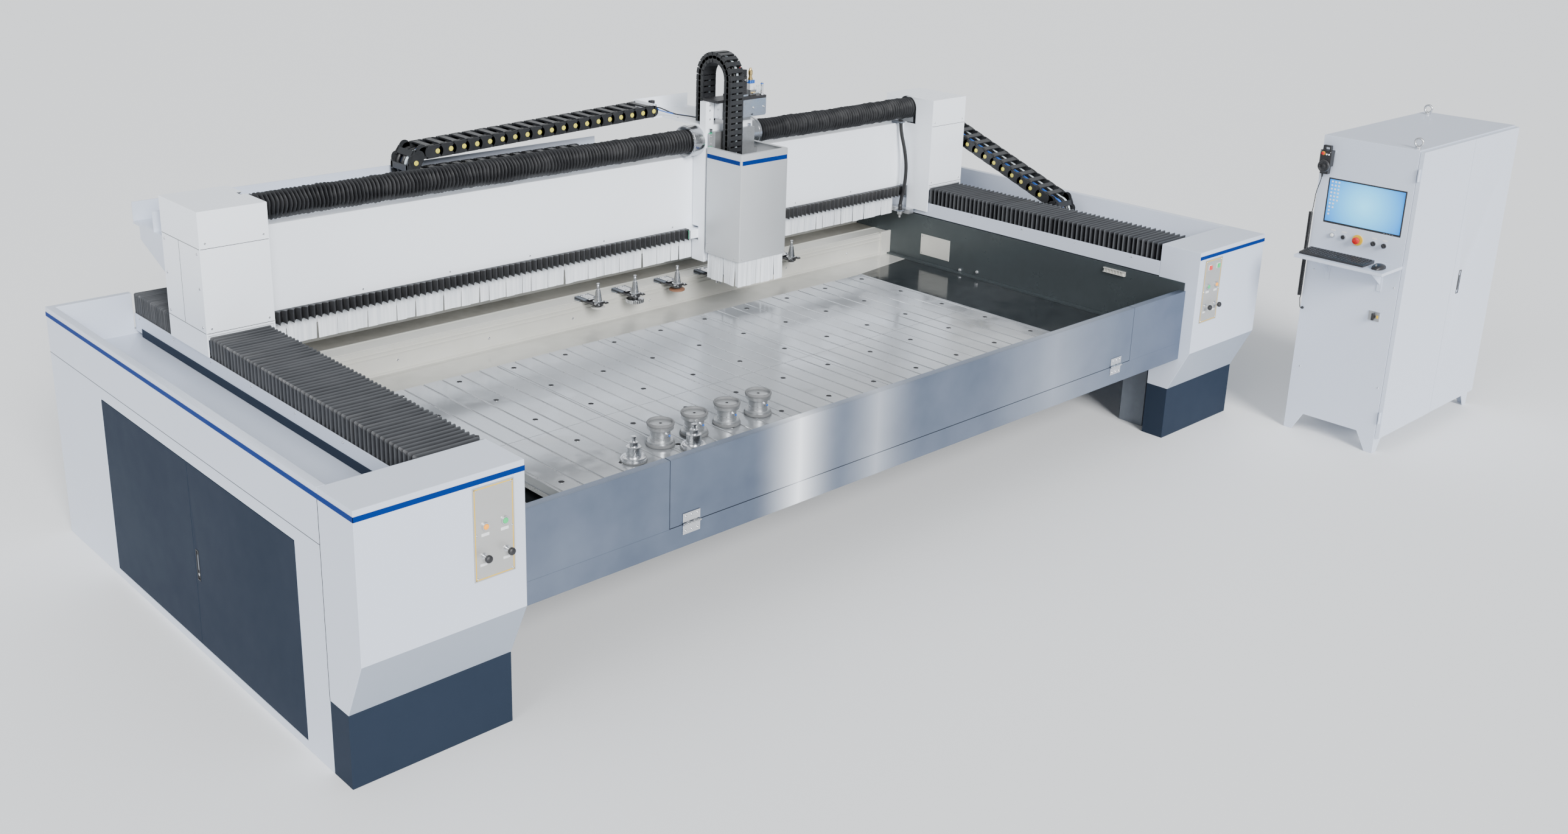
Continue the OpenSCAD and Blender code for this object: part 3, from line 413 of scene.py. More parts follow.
def folded_cloth(name):
    """Pleated rubber cloth: a paler painted highlight on the crests, near-black painted shade in the folds.
    """
    material, tree, shader = blank_material(name)
    # Crest colour is a painted highlight and fold-bottom colour is painted shade; the middle colour is the
    # cloth's own.
    ridge_highlight, body, valley_shade = {
        "folded cover": ((0.064, 0.068, 0.074), (0.020, 0.021, 0.024), (0.003, 0.003, 0.004)),
        "folded tube": ((0.034, 0.035, 0.038), (0.012, 0.0125, 0.014), (0.0015, 0.0015, 0.002)),
        "folded strip": ((0.046, 0.047, 0.051), (0.013, 0.0135, 0.015), (0.0015, 0.0015, 0.002)),
    }[name]
    cloth = place_group(tree, blotch_group(), Colour=body, Patch_colour=tuple(1.6 * c for c in body),
                        Scale=6.0, Amount=0.6, Roughness=0.42, Roughness_spread=0.14)
    fold = tree.nodes.new("ShaderNodeAttribute")
    fold.attribute_name = "fold"
    height = fold.outputs["Fac"]
    # Painted shade towards the fold bottoms, then a painted highlight at the crests.
    low = mix_colour(tree, ramp(tree, height, 0.0, 0.55), valley_shade, cloth.outputs["Colour"])
    tree.links.new(mix_colour(tree, ramp(tree, height, 0.70, 1.0), low, ridge_highlight), shader.inputs["Base Color"])
    tree.links.new(cloth.outputs["Roughness"], shader.inputs["Roughness"])
    shader.inputs["Specular IOR Level"].default_value = 0.35
    grain_bump(tree, shader, (1, 1, 1), 900.0, 0.12, 0.0004)
    return material


def mark_folds(mesh, heights):
    """Keeps each point's place between a fold bottom, 0, and a crest, 1, for the cloth's painted shade and
    highlight.
    """
    fold = mesh.attributes.new("fold", "FLOAT", "POINT")
    fold.data.foreach_set("value", heights)


def wet_table(name):
    """Milled aluminium under a broken film of water: tool lines, chalky residue and mirror-smooth puddles."""
    material, tree, shader = blank_material(name)
    chalk = place_group(tree, blotch_group(), Colour=(0.40, 0.42, 0.44), Patch_colour=(0.50, 0.515, 0.53),
                        Scale=1.0, Amount=0.8, Roughness=0.3, Roughness_spread=0.1)
    film = place_group(tree, blotch_group(), Colour=(1, 1, 1), Patch_colour=(0, 0, 0), Scale=0.8, Amount=1.0,
                       Roughness=0.5, Roughness_spread=0.0)
    wet = ramp(tree, film.outputs["Patches"], 0.35, 0.5)
    darker = mix_colour(tree, wet, chalk.outputs["Colour"], (0.42, 0.44, 0.46))
    tree.links.new(darker, shader.inputs["Base Color"])
    rough = tree.nodes.new("ShaderNodeMapRange")
    tree.links.new(wet, rough.inputs["Value"])
    rough.inputs["To Min"].default_value = 0.22
    rough.inputs["To Max"].default_value = 0.12
    tree.links.new(rough.outputs["Result"], shader.inputs["Roughness"])
    shader.inputs["Metallic"].default_value = 0.55
    lines = place_group(tree, grain_group(), Stretch=(1, 0.06, 1), Scale=160.0)
    dry = math_node(tree, "SUBTRACT", 1.0, wet)
    add_bump(tree, shader, math_node(tree, "MULTIPLY", lines.outputs["Height"], dry), 0.10, 0.0006)
    return material


def wet_floor(name):
    """The basin's floor: dark steel under shallow water with scum drifting on it."""
    material, tree, shader = blank_material(name)
    scum = place_group(tree, blotch_group(), Colour=(0.016, 0.020, 0.023), Patch_colour=(0.20, 0.21, 0.215),
                       Scale=1.5, Amount=0.22, Roughness=0.14, Roughness_spread=0.12)
    feed(tree, shader, scum)
    shader.inputs["Metallic"].default_value = 0.3
    grain_bump(tree, shader, (1, 1, 1), 18.0, 0.03, 0.002)
    return material


def wet_ledge(name):
    """Pale stainless sheet under a film of water, with darker wet patches and scum at their edges."""
    material, tree, shader = blank_material(name)
    film = place_group(tree, blotch_group(), Colour=(0.62, 0.62, 0.59), Patch_colour=(0.40, 0.40, 0.38),
                       Scale=1.2, Amount=0.7, Roughness=0.2, Roughness_spread=0.14)
    feed(tree, shader, film)
    shader.inputs["Metallic"].default_value = 0.4
    grain_bump(tree, shader, (1, 1, 1), 22.0, 0.02, 0.002)
    return material


def strip_vinyl(name):
    """Translucent white strip, brighter and clearer in streaks down its length."""
    material, tree, shader = blank_material(name)
    streaks = place_group(tree, grain_group(), Stretch=(1, 1, 0.05), Scale=60.0)
    tone = mix_colour(tree, ramp(tree, streaks.outputs["Height"], 0.35, 0.65), (0.74, 0.78, 0.83),
                      (0.88, 0.91, 0.95))
    tree.links.new(tone, shader.inputs["Base Color"])
    alpha = tree.nodes.new("ShaderNodeMapRange")
    tree.links.new(streaks.outputs["Height"], alpha.inputs["Value"])
    alpha.inputs["To Min"].default_value = 0.80
    alpha.inputs["To Max"].default_value = 0.97
    tree.links.new(alpha.outputs["Result"], shader.inputs["Alpha"])
    shader.inputs["Roughness"].default_value = 0.35
    add_bump(tree, shader, streaks.outputs["Height"], 0.06, 0.001)
    return material


def screen_glow(name):
    """A lit screen with a plain gradient, brighter at its middle."""
    material, tree, shader = blank_material(name)
    low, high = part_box("monitor")
    across = object_axis(tree, 1)
    up = object_axis(tree, 2)
    middle_y, middle_z = (low[1] + high[1]) / 2, (low[2] + high[2]) / 2
    away = math_node(tree, "SQRT", math_node(
        tree, "ADD", math_node(tree, "POWER", math_node(tree, "SUBTRACT", across, middle_y), 2.0),
        math_node(tree, "POWER", math_node(tree, "SUBTRACT", up, middle_z), 2.0)))
    glow = mix_colour(tree, ramp(tree, away, 0.0, 0.24), (0.16, 0.66, 0.95), (0.01, 0.20, 0.62))
    tree.links.new(glow, shader.inputs["Emission Color"])
    tree.links.new(glow, shader.inputs["Base Color"])
    shader.inputs["Emission Strength"].default_value = 1.1
    shader.inputs["Roughness"].default_value = 0.12
    return material


def lens(name, colour, glow):
    """A frosted coloured button lens with a faint light behind it."""
    material, tree, shader = blank_material(name)
    tint = place_group(tree, blotch_group(), Colour=colour, Patch_colour=tuple(c * 0.7 for c in colour),
                       Scale=90.0, Amount=0.4, Roughness=0.22, Roughness_spread=0.08)
    tree.links.new(tint.outputs["Colour"], shader.inputs["Base Color"])
    tree.links.new(tint.outputs["Colour"], shader.inputs["Emission Color"])
    tree.links.new(tint.outputs["Roughness"], shader.inputs["Roughness"])
    shader.inputs["Emission Strength"].default_value = glow
    return material


def floor_paper(name):
    material, tree, shader = blank_material(name)
    tone = place_group(tree, blotch_group(), Colour=(0.86, 0.87, 0.88), Patch_colour=(0.84, 0.85, 0.86),
                       Scale=0.3, Amount=0.5, Roughness=0.6, Roughness_spread=0.05)
    feed(tree, shader, tone)
    return material


SPECIAL = {
    "fascia steel": fascia_steel,
    "folded cover": folded_cloth,
    "folded tube": folded_cloth,
    "folded strip": folded_cloth,
    "wet table": wet_table,
    "wet floor": wet_floor,
    "wet ledge": wet_ledge,
    "strip vinyl": strip_vinyl,
    "screen glow": screen_glow,
    "orange lens": lambda name: lens(name, (0.95, 0.36, 0.02), 0.35),
    "green lens": lambda name: lens(name, (0.02, 0.50, 0.15), 0.30),
    "red lens": lambda name: lens(name, (0.70, 0.03, 0.02), 0.2),
    "lamp lens": lambda name: lens(name, (0.80, 0.82, 0.80), 0.1),
    "floor paper": floor_paper,
}


# ---------------------------------------------------------------- mesh making
class Maker:
    """Gathers solids, given in millimetres off the datum, into one piece."""

    def __init__(self, name):
        self.name = name
        self.bm = bmesh.new()
        self.finishes = []

    def index(self, look):
        if look not in self.finishes:
            self.finishes.append(look)
        return self.finishes.index(look)

    def faces(self, look, points, loops):
        """Adds a closed solid from its points and the corners of each face."""
        verts = [self.bm.verts.new(at(*p)) for p in points]
        made = [self.bm.faces.new([verts[i] for i in loop]) for loop in loops]
        bmesh.ops.recalc_face_normals(self.bm, faces=made)
        number = self.index(look)
        for face in made:
            face.material_index = number
        return verts

    def box(self, look, x0, x1, y0, y1, z0, z1):
        corners = [(x, y, z) for z in (z0, z1) for x, y in ((x0, y0), (x1, y0), (x1, y1), (x0, y1))]
        return self.faces(look, corners, [(3, 2, 1, 0), (4, 5, 6, 7), (0, 1, 5, 4), (1, 2, 6, 5),
                                          (2, 3, 7, 6), (3, 0, 4, 7)])

    def prism(self, look, axis, outline, low, high):
        """An outline in the two axes other than axis, drawn from low to high along it."""
        place = {"x": lambda a, b, c: (c, a, b), "y": lambda a, b, c: (a, c, b), "z": lambda a, b,
                 c: (a, b, c)}[axis]
        count = len(outline)
        points = [place(a, b, c) for c in (low, high) for a, b in outline]
        loops = [(i, (i + 1) % count, (i + 1) % count + count, i + count) for i in range(count)]
        return self.faces(look, points, loops + [tuple(range(count)), tuple(range(count, 2 * count))])

    def lathe(self, look, start, axis, profile, sides=24, turn=0.0):
        """A turned solid: profile is a list of (distance along axis, radius) from start."""
        base = Vector(start)
        along = {"x": Vector((1, 0, 0)), "y": Vector((0, 1, 0)), "z": Vector((0, 0, 1))}[axis[-1]]
        along = -along if axis[0] == "-" else along
        side = Vector((0, 0, 1)) if axis[-1] != "z" else Vector((1, 0, 0))
        other = along.cross(side)
        points, loops = [], []
        for distance, radius in profile:
            for k in range(sides):
                a = 2 * math.pi * k / sides + turn
                points.append(base + along * distance + (side * math.cos(a) + other * math.sin(a))
                              * max(radius, 0.01))
        for i in range(len(profile) - 1):
            for k in range(sides):
                n = (k + 1) % sides
                loops.append((i * sides + k, i * sides + n, (i + 1) * sides + n, (i + 1) * sides + k))
        last = (len(profile) - 1) * sides
        loops.append(tuple(range(sides)))
        loops.append(tuple(last + k for k in range(sides)))
        return self.faces(look, points, loops)

    def ring(self, look, start, axis, length, inner, outer, sides=32):
        """A tube wall between two radii, closed at both ends."""
        self.loft(look, start, axis, [(0, outer), (length, outer), (length, inner), (0, inner)], sides)

    def loft(self, look, start, axis, profile, sides=32):
        """A turned solid whose profile is a closed loop that stays off the axis."""
        base = Vector(start)
        along = {"x": Vector((1, 0, 0)), "y": Vector((0, 1, 0)), "z": Vector((0, 0, 1))}[axis[-1]]
        along = -along if axis[0] == "-" else along
        side = Vector((0, 0, 1)) if axis[-1] != "z" else Vector((1, 0, 0))
        other = along.cross(side)
        points, loops = [], []
        for k in range(sides):
            a = 2 * math.pi * k / sides
            out = side * math.cos(a) + other * math.sin(a)
            points += [base + along * d + out * r for d, r in profile]
        n = len(profile)
        for k in range(sides):
            m = (k + 1) % sides
            loops += [(k * n + i, k * n + (i + 1) % n, m * n + (i + 1) % n, m * n + i) for i in range(n)]
        return self.faces(look, points, loops)

    def sweep(self, look, route, radius, sides=10):
        """A round tube along a route, capped at both ends."""
        points, loops = [], []
        route = [Vector(p) for p in route]
        flip = Vector((0.13, 0.17, 1)) if abs((route[-1]
                                               - route[0]).normalized().z) < 0.9 else Vector((1, 0.1, 0))
        side = None
        for i, p in enumerate(route):
            ahead = (route[min(i + 1, len(route) - 1)] - route[max(i - 1, 0)]).normalized()
            side = ahead.cross(flip).normalized() if side is None else (side - ahead
                                                                        * side.dot(ahead)).normalized()
            up = ahead.cross(side)
            for k in range(sides):
                a = 2 * math.pi * k / sides
                points.append(p + (side * math.cos(a) + up * math.sin(a)) * radius)
        for i in range(len(route) - 1):
            for k in range(sides):
                n = (k + 1) % sides
                loops.append((i * sides + k, i * sides + n, (i + 1) * sides + n, (i + 1) * sides + k))
        last = (len(route) - 1) * sides
        return self.faces(look, points, loops + [tuple(range(sides)), tuple(last + k for k in range(sides))])

    def screw(self, x, y, z, axis, radius=5.0, look="zinc"):
        """A low domed head with a socket, standing on a face."""
        self.lathe(look, (x, y, z), axis, [(0, radius), (radius * 0.35, radius * 0.96),
                                           (radius * 0.62, radius * 0.7), (radius * 0.66, radius * 0.42),
                                           (radius * 0.3, radius * 0.38)], 12)

    def done(self, body, replaces=(), bevel=None, smooth=35):
        """Turns the solids into one object that rides on its body."""
        mesh = bpy.data.meshes.new(self.name)
        self.bm.to_mesh(mesh)
        self.bm.free()
        for look in self.finishes:
            mesh.materials.append(finish(look))
        return settle(self.name, mesh, body, replaces, bevel, smooth)


def settle(name, mesh, body, replaces=(), bevel=None, smooth=35):
    """Links a finished mesh as a piece, rounds its edges and makes it ride on its body or bodies."""
    mesh.shade_smooth()
    mesh.set_sharp_from_angle(angle=math.radians(smooth))
    piece = bpy.data.objects.new(name, mesh)
    bpy.context.scene.collection.objects.link(piece)
    if bevel:
        round_edges(piece, bevel)
    if isinstance(body, str):
        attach(piece, body)
    elif body:
        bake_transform(piece, *body)
    if replaces:
        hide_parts(*([replaces] if isinstance(replaces, str) else replaces))
    return piece


def round_edges(piece, width):
    edge = piece.modifiers.new("Rounded edges", "BEVEL")
    edge.width = width * MM
    edge.segments = 2
    edge.limit_method = "ANGLE"
    edge.angle_limit = math.radians(40)
    edge.use_clamp_overlap = True
    edge.harden_normals = True


def dress(node, look, bevel=None, name=None):
    """A copy of a CAD node with clean faces and rounded edges, shown in its place."""
    bm = bmesh.new()
    bm.from_mesh(NODES[node].data)
    bmesh.ops.remove_doubles(bm, verts=bm.verts, dist=1e-5)
    bmesh.ops.dissolve_limit(bm, angle_limit=math.radians(0.5), verts=bm.verts, edges=bm.edges)
    mesh = bpy.data.meshes.new(name or node + "_finished")
    bm.to_mesh(mesh)
    bm.free()
    mesh.materials.clear()
    mesh.materials.append(finish(look))
    for face in mesh.polygons:
        face.material_index = 0
    body = body_of(NODES[node])[0]
    return settle(mesh.name, mesh, body, node, bevel)


# ---------------------------------------------------------------- geometry nodes
def set_input(modifier, label, value):
    """Sets a tree's input by the identifier of its socket."""
    for item in modifier.node_group.interface.items_tree:
        if item.item_type == "SOCKET" and item.in_out == "INPUT" and item.name == label:
            modifier[item.identifier] = value
            return
    raise ValueError(f"no input named {label}")


def row_tree(axis, pivot):
    """Copies of a unit along a path at one pitch, each turned about pivot to follow the path."""
    name = f"Row along a path {axis}{pivot}"
    if name in bpy.data.node_groups:
        return bpy.data.node_groups[name]
    tree = bpy.data.node_groups.new(name, "GeometryNodeTree")
    face = tree.interface
    face.new_socket("Path", in_out="INPUT", socket_type="NodeSocketGeometry")
    face.new_socket("Unit", in_out="INPUT", socket_type="NodeSocketObject")
    face.new_socket("Count", in_out="INPUT", socket_type="NodeSocketInt")
    face.new_socket("Wobble", in_out="INPUT", socket_type="NodeSocketFloat")
    face.new_socket("Seed", in_out="INPUT", socket_type="NodeSocketInt")
    face.new_socket("Finish", in_out="INPUT", socket_type="NodeSocketMaterial")
    face.new_socket("Row", in_out="OUTPUT", socket_type="NodeSocketGeometry")
    node = tree.nodes.new
    link = tree.links.new
    given, out = node("NodeGroupInput"), node("NodeGroupOutput")
    curve = node("GeometryNodeMeshToCurve")
    link(given.outputs["Path"], curve.inputs["Mesh"])
    points = node("GeometryNodeResampleCurve")
    link(curve.outputs[0], points.inputs["Curve"])
    link(given.outputs["Count"], points.inputs["Count"])
    unit = node("GeometryNodeObjectInfo")
    link(given.outputs["Unit"], unit.inputs["Object"])
    turned = node("FunctionNodeAlignRotationToVector")
    turned.axis = axis
    turned.pivot_axis = pivot
    link(node("GeometryNodeInputTangent").outputs[0], turned.inputs["Vector"])
    wobble = node("FunctionNodeRandomValue")
    wobble.data_type = "FLOAT_VECTOR"
    spread = node("ShaderNodeVectorMath")
    spread.operation = "SCALE"
    spread.inputs[0].default_value = (1, 1, 1)
    link(given.outputs["Wobble"], spread.inputs["Scale"])
    opposite = node("ShaderNodeVectorMath")
    opposite.operation = "SCALE"
    opposite.inputs["Scale"].default_value = -1
    link(spread.outputs[0], opposite.inputs[0])
    link(spread.outputs[0], wobble.inputs[1])
    link(opposite.outputs[0], wobble.inputs[0])
    link(given.outputs["Seed"], wobble.inputs["Seed"])
    sway = node("FunctionNodeRotateRotation")
    sway.rotation_space = "LOCAL"
    link(turned.outputs[0], sway.inputs[0])
    link(wobble.outputs[0], sway.inputs[1])
    copies = node("GeometryNodeInstanceOnPoints")
    link(points.outputs[0], copies.inputs["Points"])
    link(unit.outputs["Geometry"], copies.inputs["Instance"])
    link(sway.outputs[0], copies.inputs["Rotation"])
    real = node("GeometryNodeRealizeInstances")
    link(copies.outputs[0], real.inputs[0])
    paint = node("GeometryNodeSetMaterial")
    link(real.outputs[0], paint.inputs["Geometry"])
    link(given.outputs["Finish"], paint.inputs["Material"])
    link(paint.outputs[0], out.inputs["Row"])
    return tree


def unit_mesh(maker):
    """A unit for a row, built at the datum and moved to the world's origin."""
    mesh = bpy.data.meshes.new(maker.name)
    maker.bm.to_mesh(mesh)
    maker.bm.free()
    mesh.transform(Matrix.Translation(-at(0, 0, 0)))
    mesh.shade_smooth()
    mesh.set_sharp_from_angle(angle=math.radians(35))
    unit = bpy.data.objects.new(maker.name, mesh)
    bpy.context.scene.collection.objects.link(unit)
    return unit


def row(name, path, unit, count, look, body, slot, replaces=(), axis="X", pivot="Y", wobble=0.0, seed=1,
        bevel=None):
    """A row of one unit along a path of points given in millimetres, as one plain mesh."""
    line = bpy.data.meshes.new(name + "_path")
    line.from_pydata([at(*p) for p in path], [(i, i + 1) for i in range(len(path) - 1)], [])
    carrier = bpy.data.objects.new(name + "_path", line)
    bpy.context.scene.collection.objects.link(carrier)
    modifier = carrier.modifiers.new("Row", "NODES")
    modifier.node_group = row_tree(axis, pivot)
    for label, value in (("Unit", unit), ("Count", count), ("Wobble", wobble), ("Seed", seed),
                         ("Finish", finish(look))):
        set_input(modifier, label, value)
    graph = bpy.context.evaluated_depsgraph_get()
    mesh = bpy.data.meshes.new_from_object(carrier.evaluated_get(graph), depsgraph=graph)
    mesh.name = name
    carrier.modifiers.clear()
    bpy.data.objects.remove(carrier)
    return settle(name, mesh, body, replaces, bevel)


def drop(*units):
    for unit in units:
        bpy.data.objects.remove(unit)


# ---------------------------------------------------------------- stage
class ROUTER_OT_stage(bpy.types.Operator):
    """Makes the camera, the pale floor and the soft lights"""

    bl_idname = "router.stage"
    bl_label = "Stage"

    def execute(self, context):
        scene = context.scene
        yaw, pitch, roll = (math.radians(a) for a in (42.954, -17.666, 1.450))
        ahead = Vector((math.sin(yaw) * math.cos(pitch), math.cos(yaw) * math.cos(pitch), math.sin(pitch)))
        right = Vector((math.cos(yaw), -math.sin(yaw), 0))
        up = right.cross(ahead)
        turned = math.cos(roll) * right + math.sin(roll) * up
        upward = -math.sin(roll) * right + math.cos(roll) * up
        eye = bpy.data.objects.new("Camera", bpy.data.cameras.new("Camera"))
        scene.collection.objects.link(eye)
        eye.matrix_world = Matrix((
            (turned.x, upward.x, -ahead.x, 0), (turned.y, upward.y, -ahead.y, 0),
            (turned.z, upward.z, -ahead.z, 0), (0, 0, 0, 1)))
        eye.location = at(-2235.5, -4291.3, 3390.3)
        eye.data.sensor_width = 36
        eye.data.lens = 34.91
        eye.data.shift_x = 0.0282
        eye.data.shift_y = -0.0681
        eye.data.clip_end = 200
        scene.camera = eye
        self.floor()
        self.sun("Key", (-0.30, -0.85, 0.47), 5.6, 24)
        self.sun("Fill", (-0.88, -0.15, 0.45), 1.35, 40)
        self.sun("Back", (0.55, 0.60, 0.58), 0.5, 50)
        world = bpy.data.worlds.new("Studio")
        scene.world = world
        world.use_nodes = True
        backdrop = world.node_tree.nodes["Background"]
        backdrop.inputs["Color"].default_value = (0.90, 0.95, 1.0, 1)
        backdrop.inputs["Strength"].default_value = 0.55
        return {"FINISHED"}

    def floor(self):
        mesh = bpy.data.meshes.new("Floor")
        reach = 90.0
        mesh.from_pydata([(-reach, -reach, 0), (reach, -reach, 0), (reach, reach, 0), (-reach, reach, 0)], [],
                         [(0, 1, 2, 3)])
        mesh.materials.append(finish("floor paper"))
        ground = bpy.data.objects.new("Floor", mesh)
        bpy.context.scene.collection.objects.link(ground)

    def sun(self, name, source, power, spread):
        """A soft light from the direction of source, as wide as spread degrees."""
        lamp = bpy.data.lights.new(name, "SUN")
        lamp.energy = power
        lamp.angle = math.radians(spread)
        holder = bpy.data.objects.new(name, lamp)
        holder.location = Vector(source) * 8
        holder.rotation_mode = "QUATERNION"
        holder.rotation_quaternion = (-Vector(source)).to_track_quat("-Z", "Y")
        bpy.context.scene.collection.objects.link(holder)


# ---------------------------------------------------------------- housings and covers
def seam(maker, x0, x1, y0, y1, z0, z1):
    maker.box("dark gap", x0, x1, y0, y1, z0, z1)


class ROUTER_OT_housings(bpy.types.Operator):
    """Dresses the end housings, the front covers and the plinths, with their seams and blue stripe"""

    bl_idname = "router.housings"
    bl_label = "End housings"

    def execute(self, context):
        dress("housing_left", "shell paint", 2)
        dress("housing_right", "shell paint", 2)
        covers = dress("front_covers", "shell paint", 2.5)
        # The covers' faces that slope down towards the front get a darker finish: painted shade on their
        # undersides.
        covers.data.materials.append(finish("toe paint"))
        for face in covers.data.polygons:
            if -0.95 < face.normal.z < -0.2 and face.normal.y < -0.2:
                face.material_index = 1
        dress("plinths", "navy paint", 2)
        end = span("front_covers")[1]
        back = span("housing_left")[3]
        cover_back = span("front_covers")[3]
        width = 700
        tall = sizes().stripe / MM
        low = 1115
        trim = Maker("housing_trim")
        for outer, sign in ((0, 1), (end, -1)):
            out, skin = outer - sign * 1.2, outer + sign * 0.4
            x0, x1 = sorted((out, skin))
            trim.box("stripe paint", x0, x1, -1.2, back, low, low + tall)
            inner = outer + sign * width
            x0, x1 = sorted((out, inner))
            trim.box("stripe paint", x0, x1, -1.2, 0.4, low, low + tall)
            x0, x1 = sorted((outer - sign * 0.5, skin))
            seam(trim, x0, x1, cover_back - 1.2, cover_back + 1.2, 309, 1113)
            seam(trim, x0, x1, cover_back + 2, back - 2, 936, 938.4)
        trim.done(ROOT)
        self.fixed_doors(end)
        return {"FINISHED"}

    def fixed_doors(self, end):
        """The right housing's screwed panels, a mirror of the left housing's doors."""
        panel = Maker("right_side_panels")
        for y0, y1 in ((457, 1385.5), (1388.5, 2288)):
            panel.box("navy paint", end, end + 4, y0, y1, 41, 876)
            for y in (y0 + 30, y1 - 30):
                for z in (75, 460, 842):
                    panel.screw(end + 4, y, z, "x", 7)
        panel.done(ROOT, bevel=1.5)


class ROUTER_OT_doors(bpy.types.Operator):
    """Dresses the left housing's doors and the sunk pull beside their split"""

    bl_idname = "router.doors"
    bl_label = "Side doors"

    def execute(self, context):
        for node in ("door_left_front", "door_left_rear"):
            dress(node, "navy paint", 1.2)
        split = span("door_left_front")[3] + 1.5
        middle = split - 30
        seam = Maker("door_seam")
        seam.box("dark gap", 3, 22, split - 1.4, split + 1.4, 44, 873)
        seam.done(ROOT)
        pull = Maker("door_pull")
        for y, z, w, h in ((middle, 354.5, 12.5, 2.5), (middle, 489.5, 12.5, 2.5),
                           (middle - 11.5, 422, 1.2, 66), (middle + 11.5, 422, 1.2, 66)):
            pull.box("black plastic", -1.5, 12, y - w, y + w, z - h, z + h)
        pull.box("black plastic", 2, 11.8, middle - 8.4, middle + 8.4, 361, 483)
        pull.box("frame paint", 0.5, 2.2, middle - 6, middle + 6, 400, 470)
        pull.lathe("zinc", (2.2, middle, 380), "-x", [(0, 7), (2.4, 7), (3, 5), (3.2, 2)], 18)
        pull.done("left_front_door", bevel=0.6)
        return {"FINISHED"}


class ROUTER_OT_front_panels(bpy.types.Operator):
    """Makes the control plates and their buttons"""

    bl_idname = "router.front_panels"
    bl_label = "Control plates"

    def execute(self, context):
        x0, _, _, _, z0, z1 = span("control_plates")
        right = span("start_button_right")[0] + 11 - 50
        plates = Maker("control_plates_finished")
        for left, lamps in ((x0, False), (right, True)):
            self.plate(plates, left, left + 178, z0, z1)
            self.fittings(plates, left, lamps)
        plates.done(ROOT, "control_plates", bevel=0.6)
        for node, look in (("stop_button_left", "orange lens"), ("start_button_left", "green lens"),
                           ("start_button_right", "green lens"), ("stop_button_right", "orange lens")):
            bx0, bx1, _, by1, bz0, bz1 = span(node)
            button = Maker(node + "_lens")
            button.lathe(look, ((bx0 + bx1) / 2, by1, (bz0 + bz1) / 2), "-y",
                         [(0, 10.8), (6.4, 10.8), (7.4, 10.0), (7.9, 8.0), (8.2, 5.0), (8.3, 1)], 32)
            button.done(body_of(NODES[node])[0],
                        node)
        return {"FINISHED"}

    def plate(self, plates, x0, x1, z0, z1):
        plates.box("plate face", x0, x1, -3, 0.2, z0, z1)
        inset, line = 5, 4
        for a, b, c, d in ((x0 + inset, x1 - inset, z0 + inset, z0 + inset + line),
                           (x0 + inset, x1 - inset, z1 - inset - line, z1 - inset),
                           (x0 + inset, x0 + inset + line, z0 + inset, z1 - inset),
                           (x1 - inset - line, x1 - inset, z0 + inset, z1 - inset)):
            plates.box("signal yellow", a, b, -3.4, -2.9, c, d)
        for x in (x0 + 12, x1 - 12):
            for z in (z0 + 12, (z0 + z1) / 2, z1 - 12):
                plates.screw(x, -3, z, "-y", 4.5)

    def fittings(self, plates, left, lamps):
        for dx in (50, 134):
            plates.ring("zinc", (left + dx, -3, 945), "-y", 8, 11.4, 16)
            plates.box("white plastic", left + dx - 17, left + dx + 17, -3.5, -2.9, 906, 918)
        for dx in (40, 140):
            plates.lathe("zinc", (left + dx, -3, 829), "-y",
                         [(0, 13), (2.5, 13), (3, 11), (6, 11), (6.5, 6), (24, 6), (25, 7.5)], 24)
            plates.lathe("black plastic", (left + dx, -27, 829), "-y",
                         [(0, 8), (2, 12), (6, 14.5), (12, 15.5), (17, 14), (20.5, 9.5), (21.5, 3)], 28)
            plates.box("white plastic", left + dx - 15, left + dx + 15, -3.5, -2.9, 788, 798)
        if lamps:
            for dx, look in ((50, "red lens"), (134, "green lens")):
                plates.box("white plastic", left + dx - 15, left + dx + 15, -7, -2.9, 1043, 1073)
                plates.box(look, left + dx - 12, left + dx + 12, -12, -6.9, 1046, 1070)


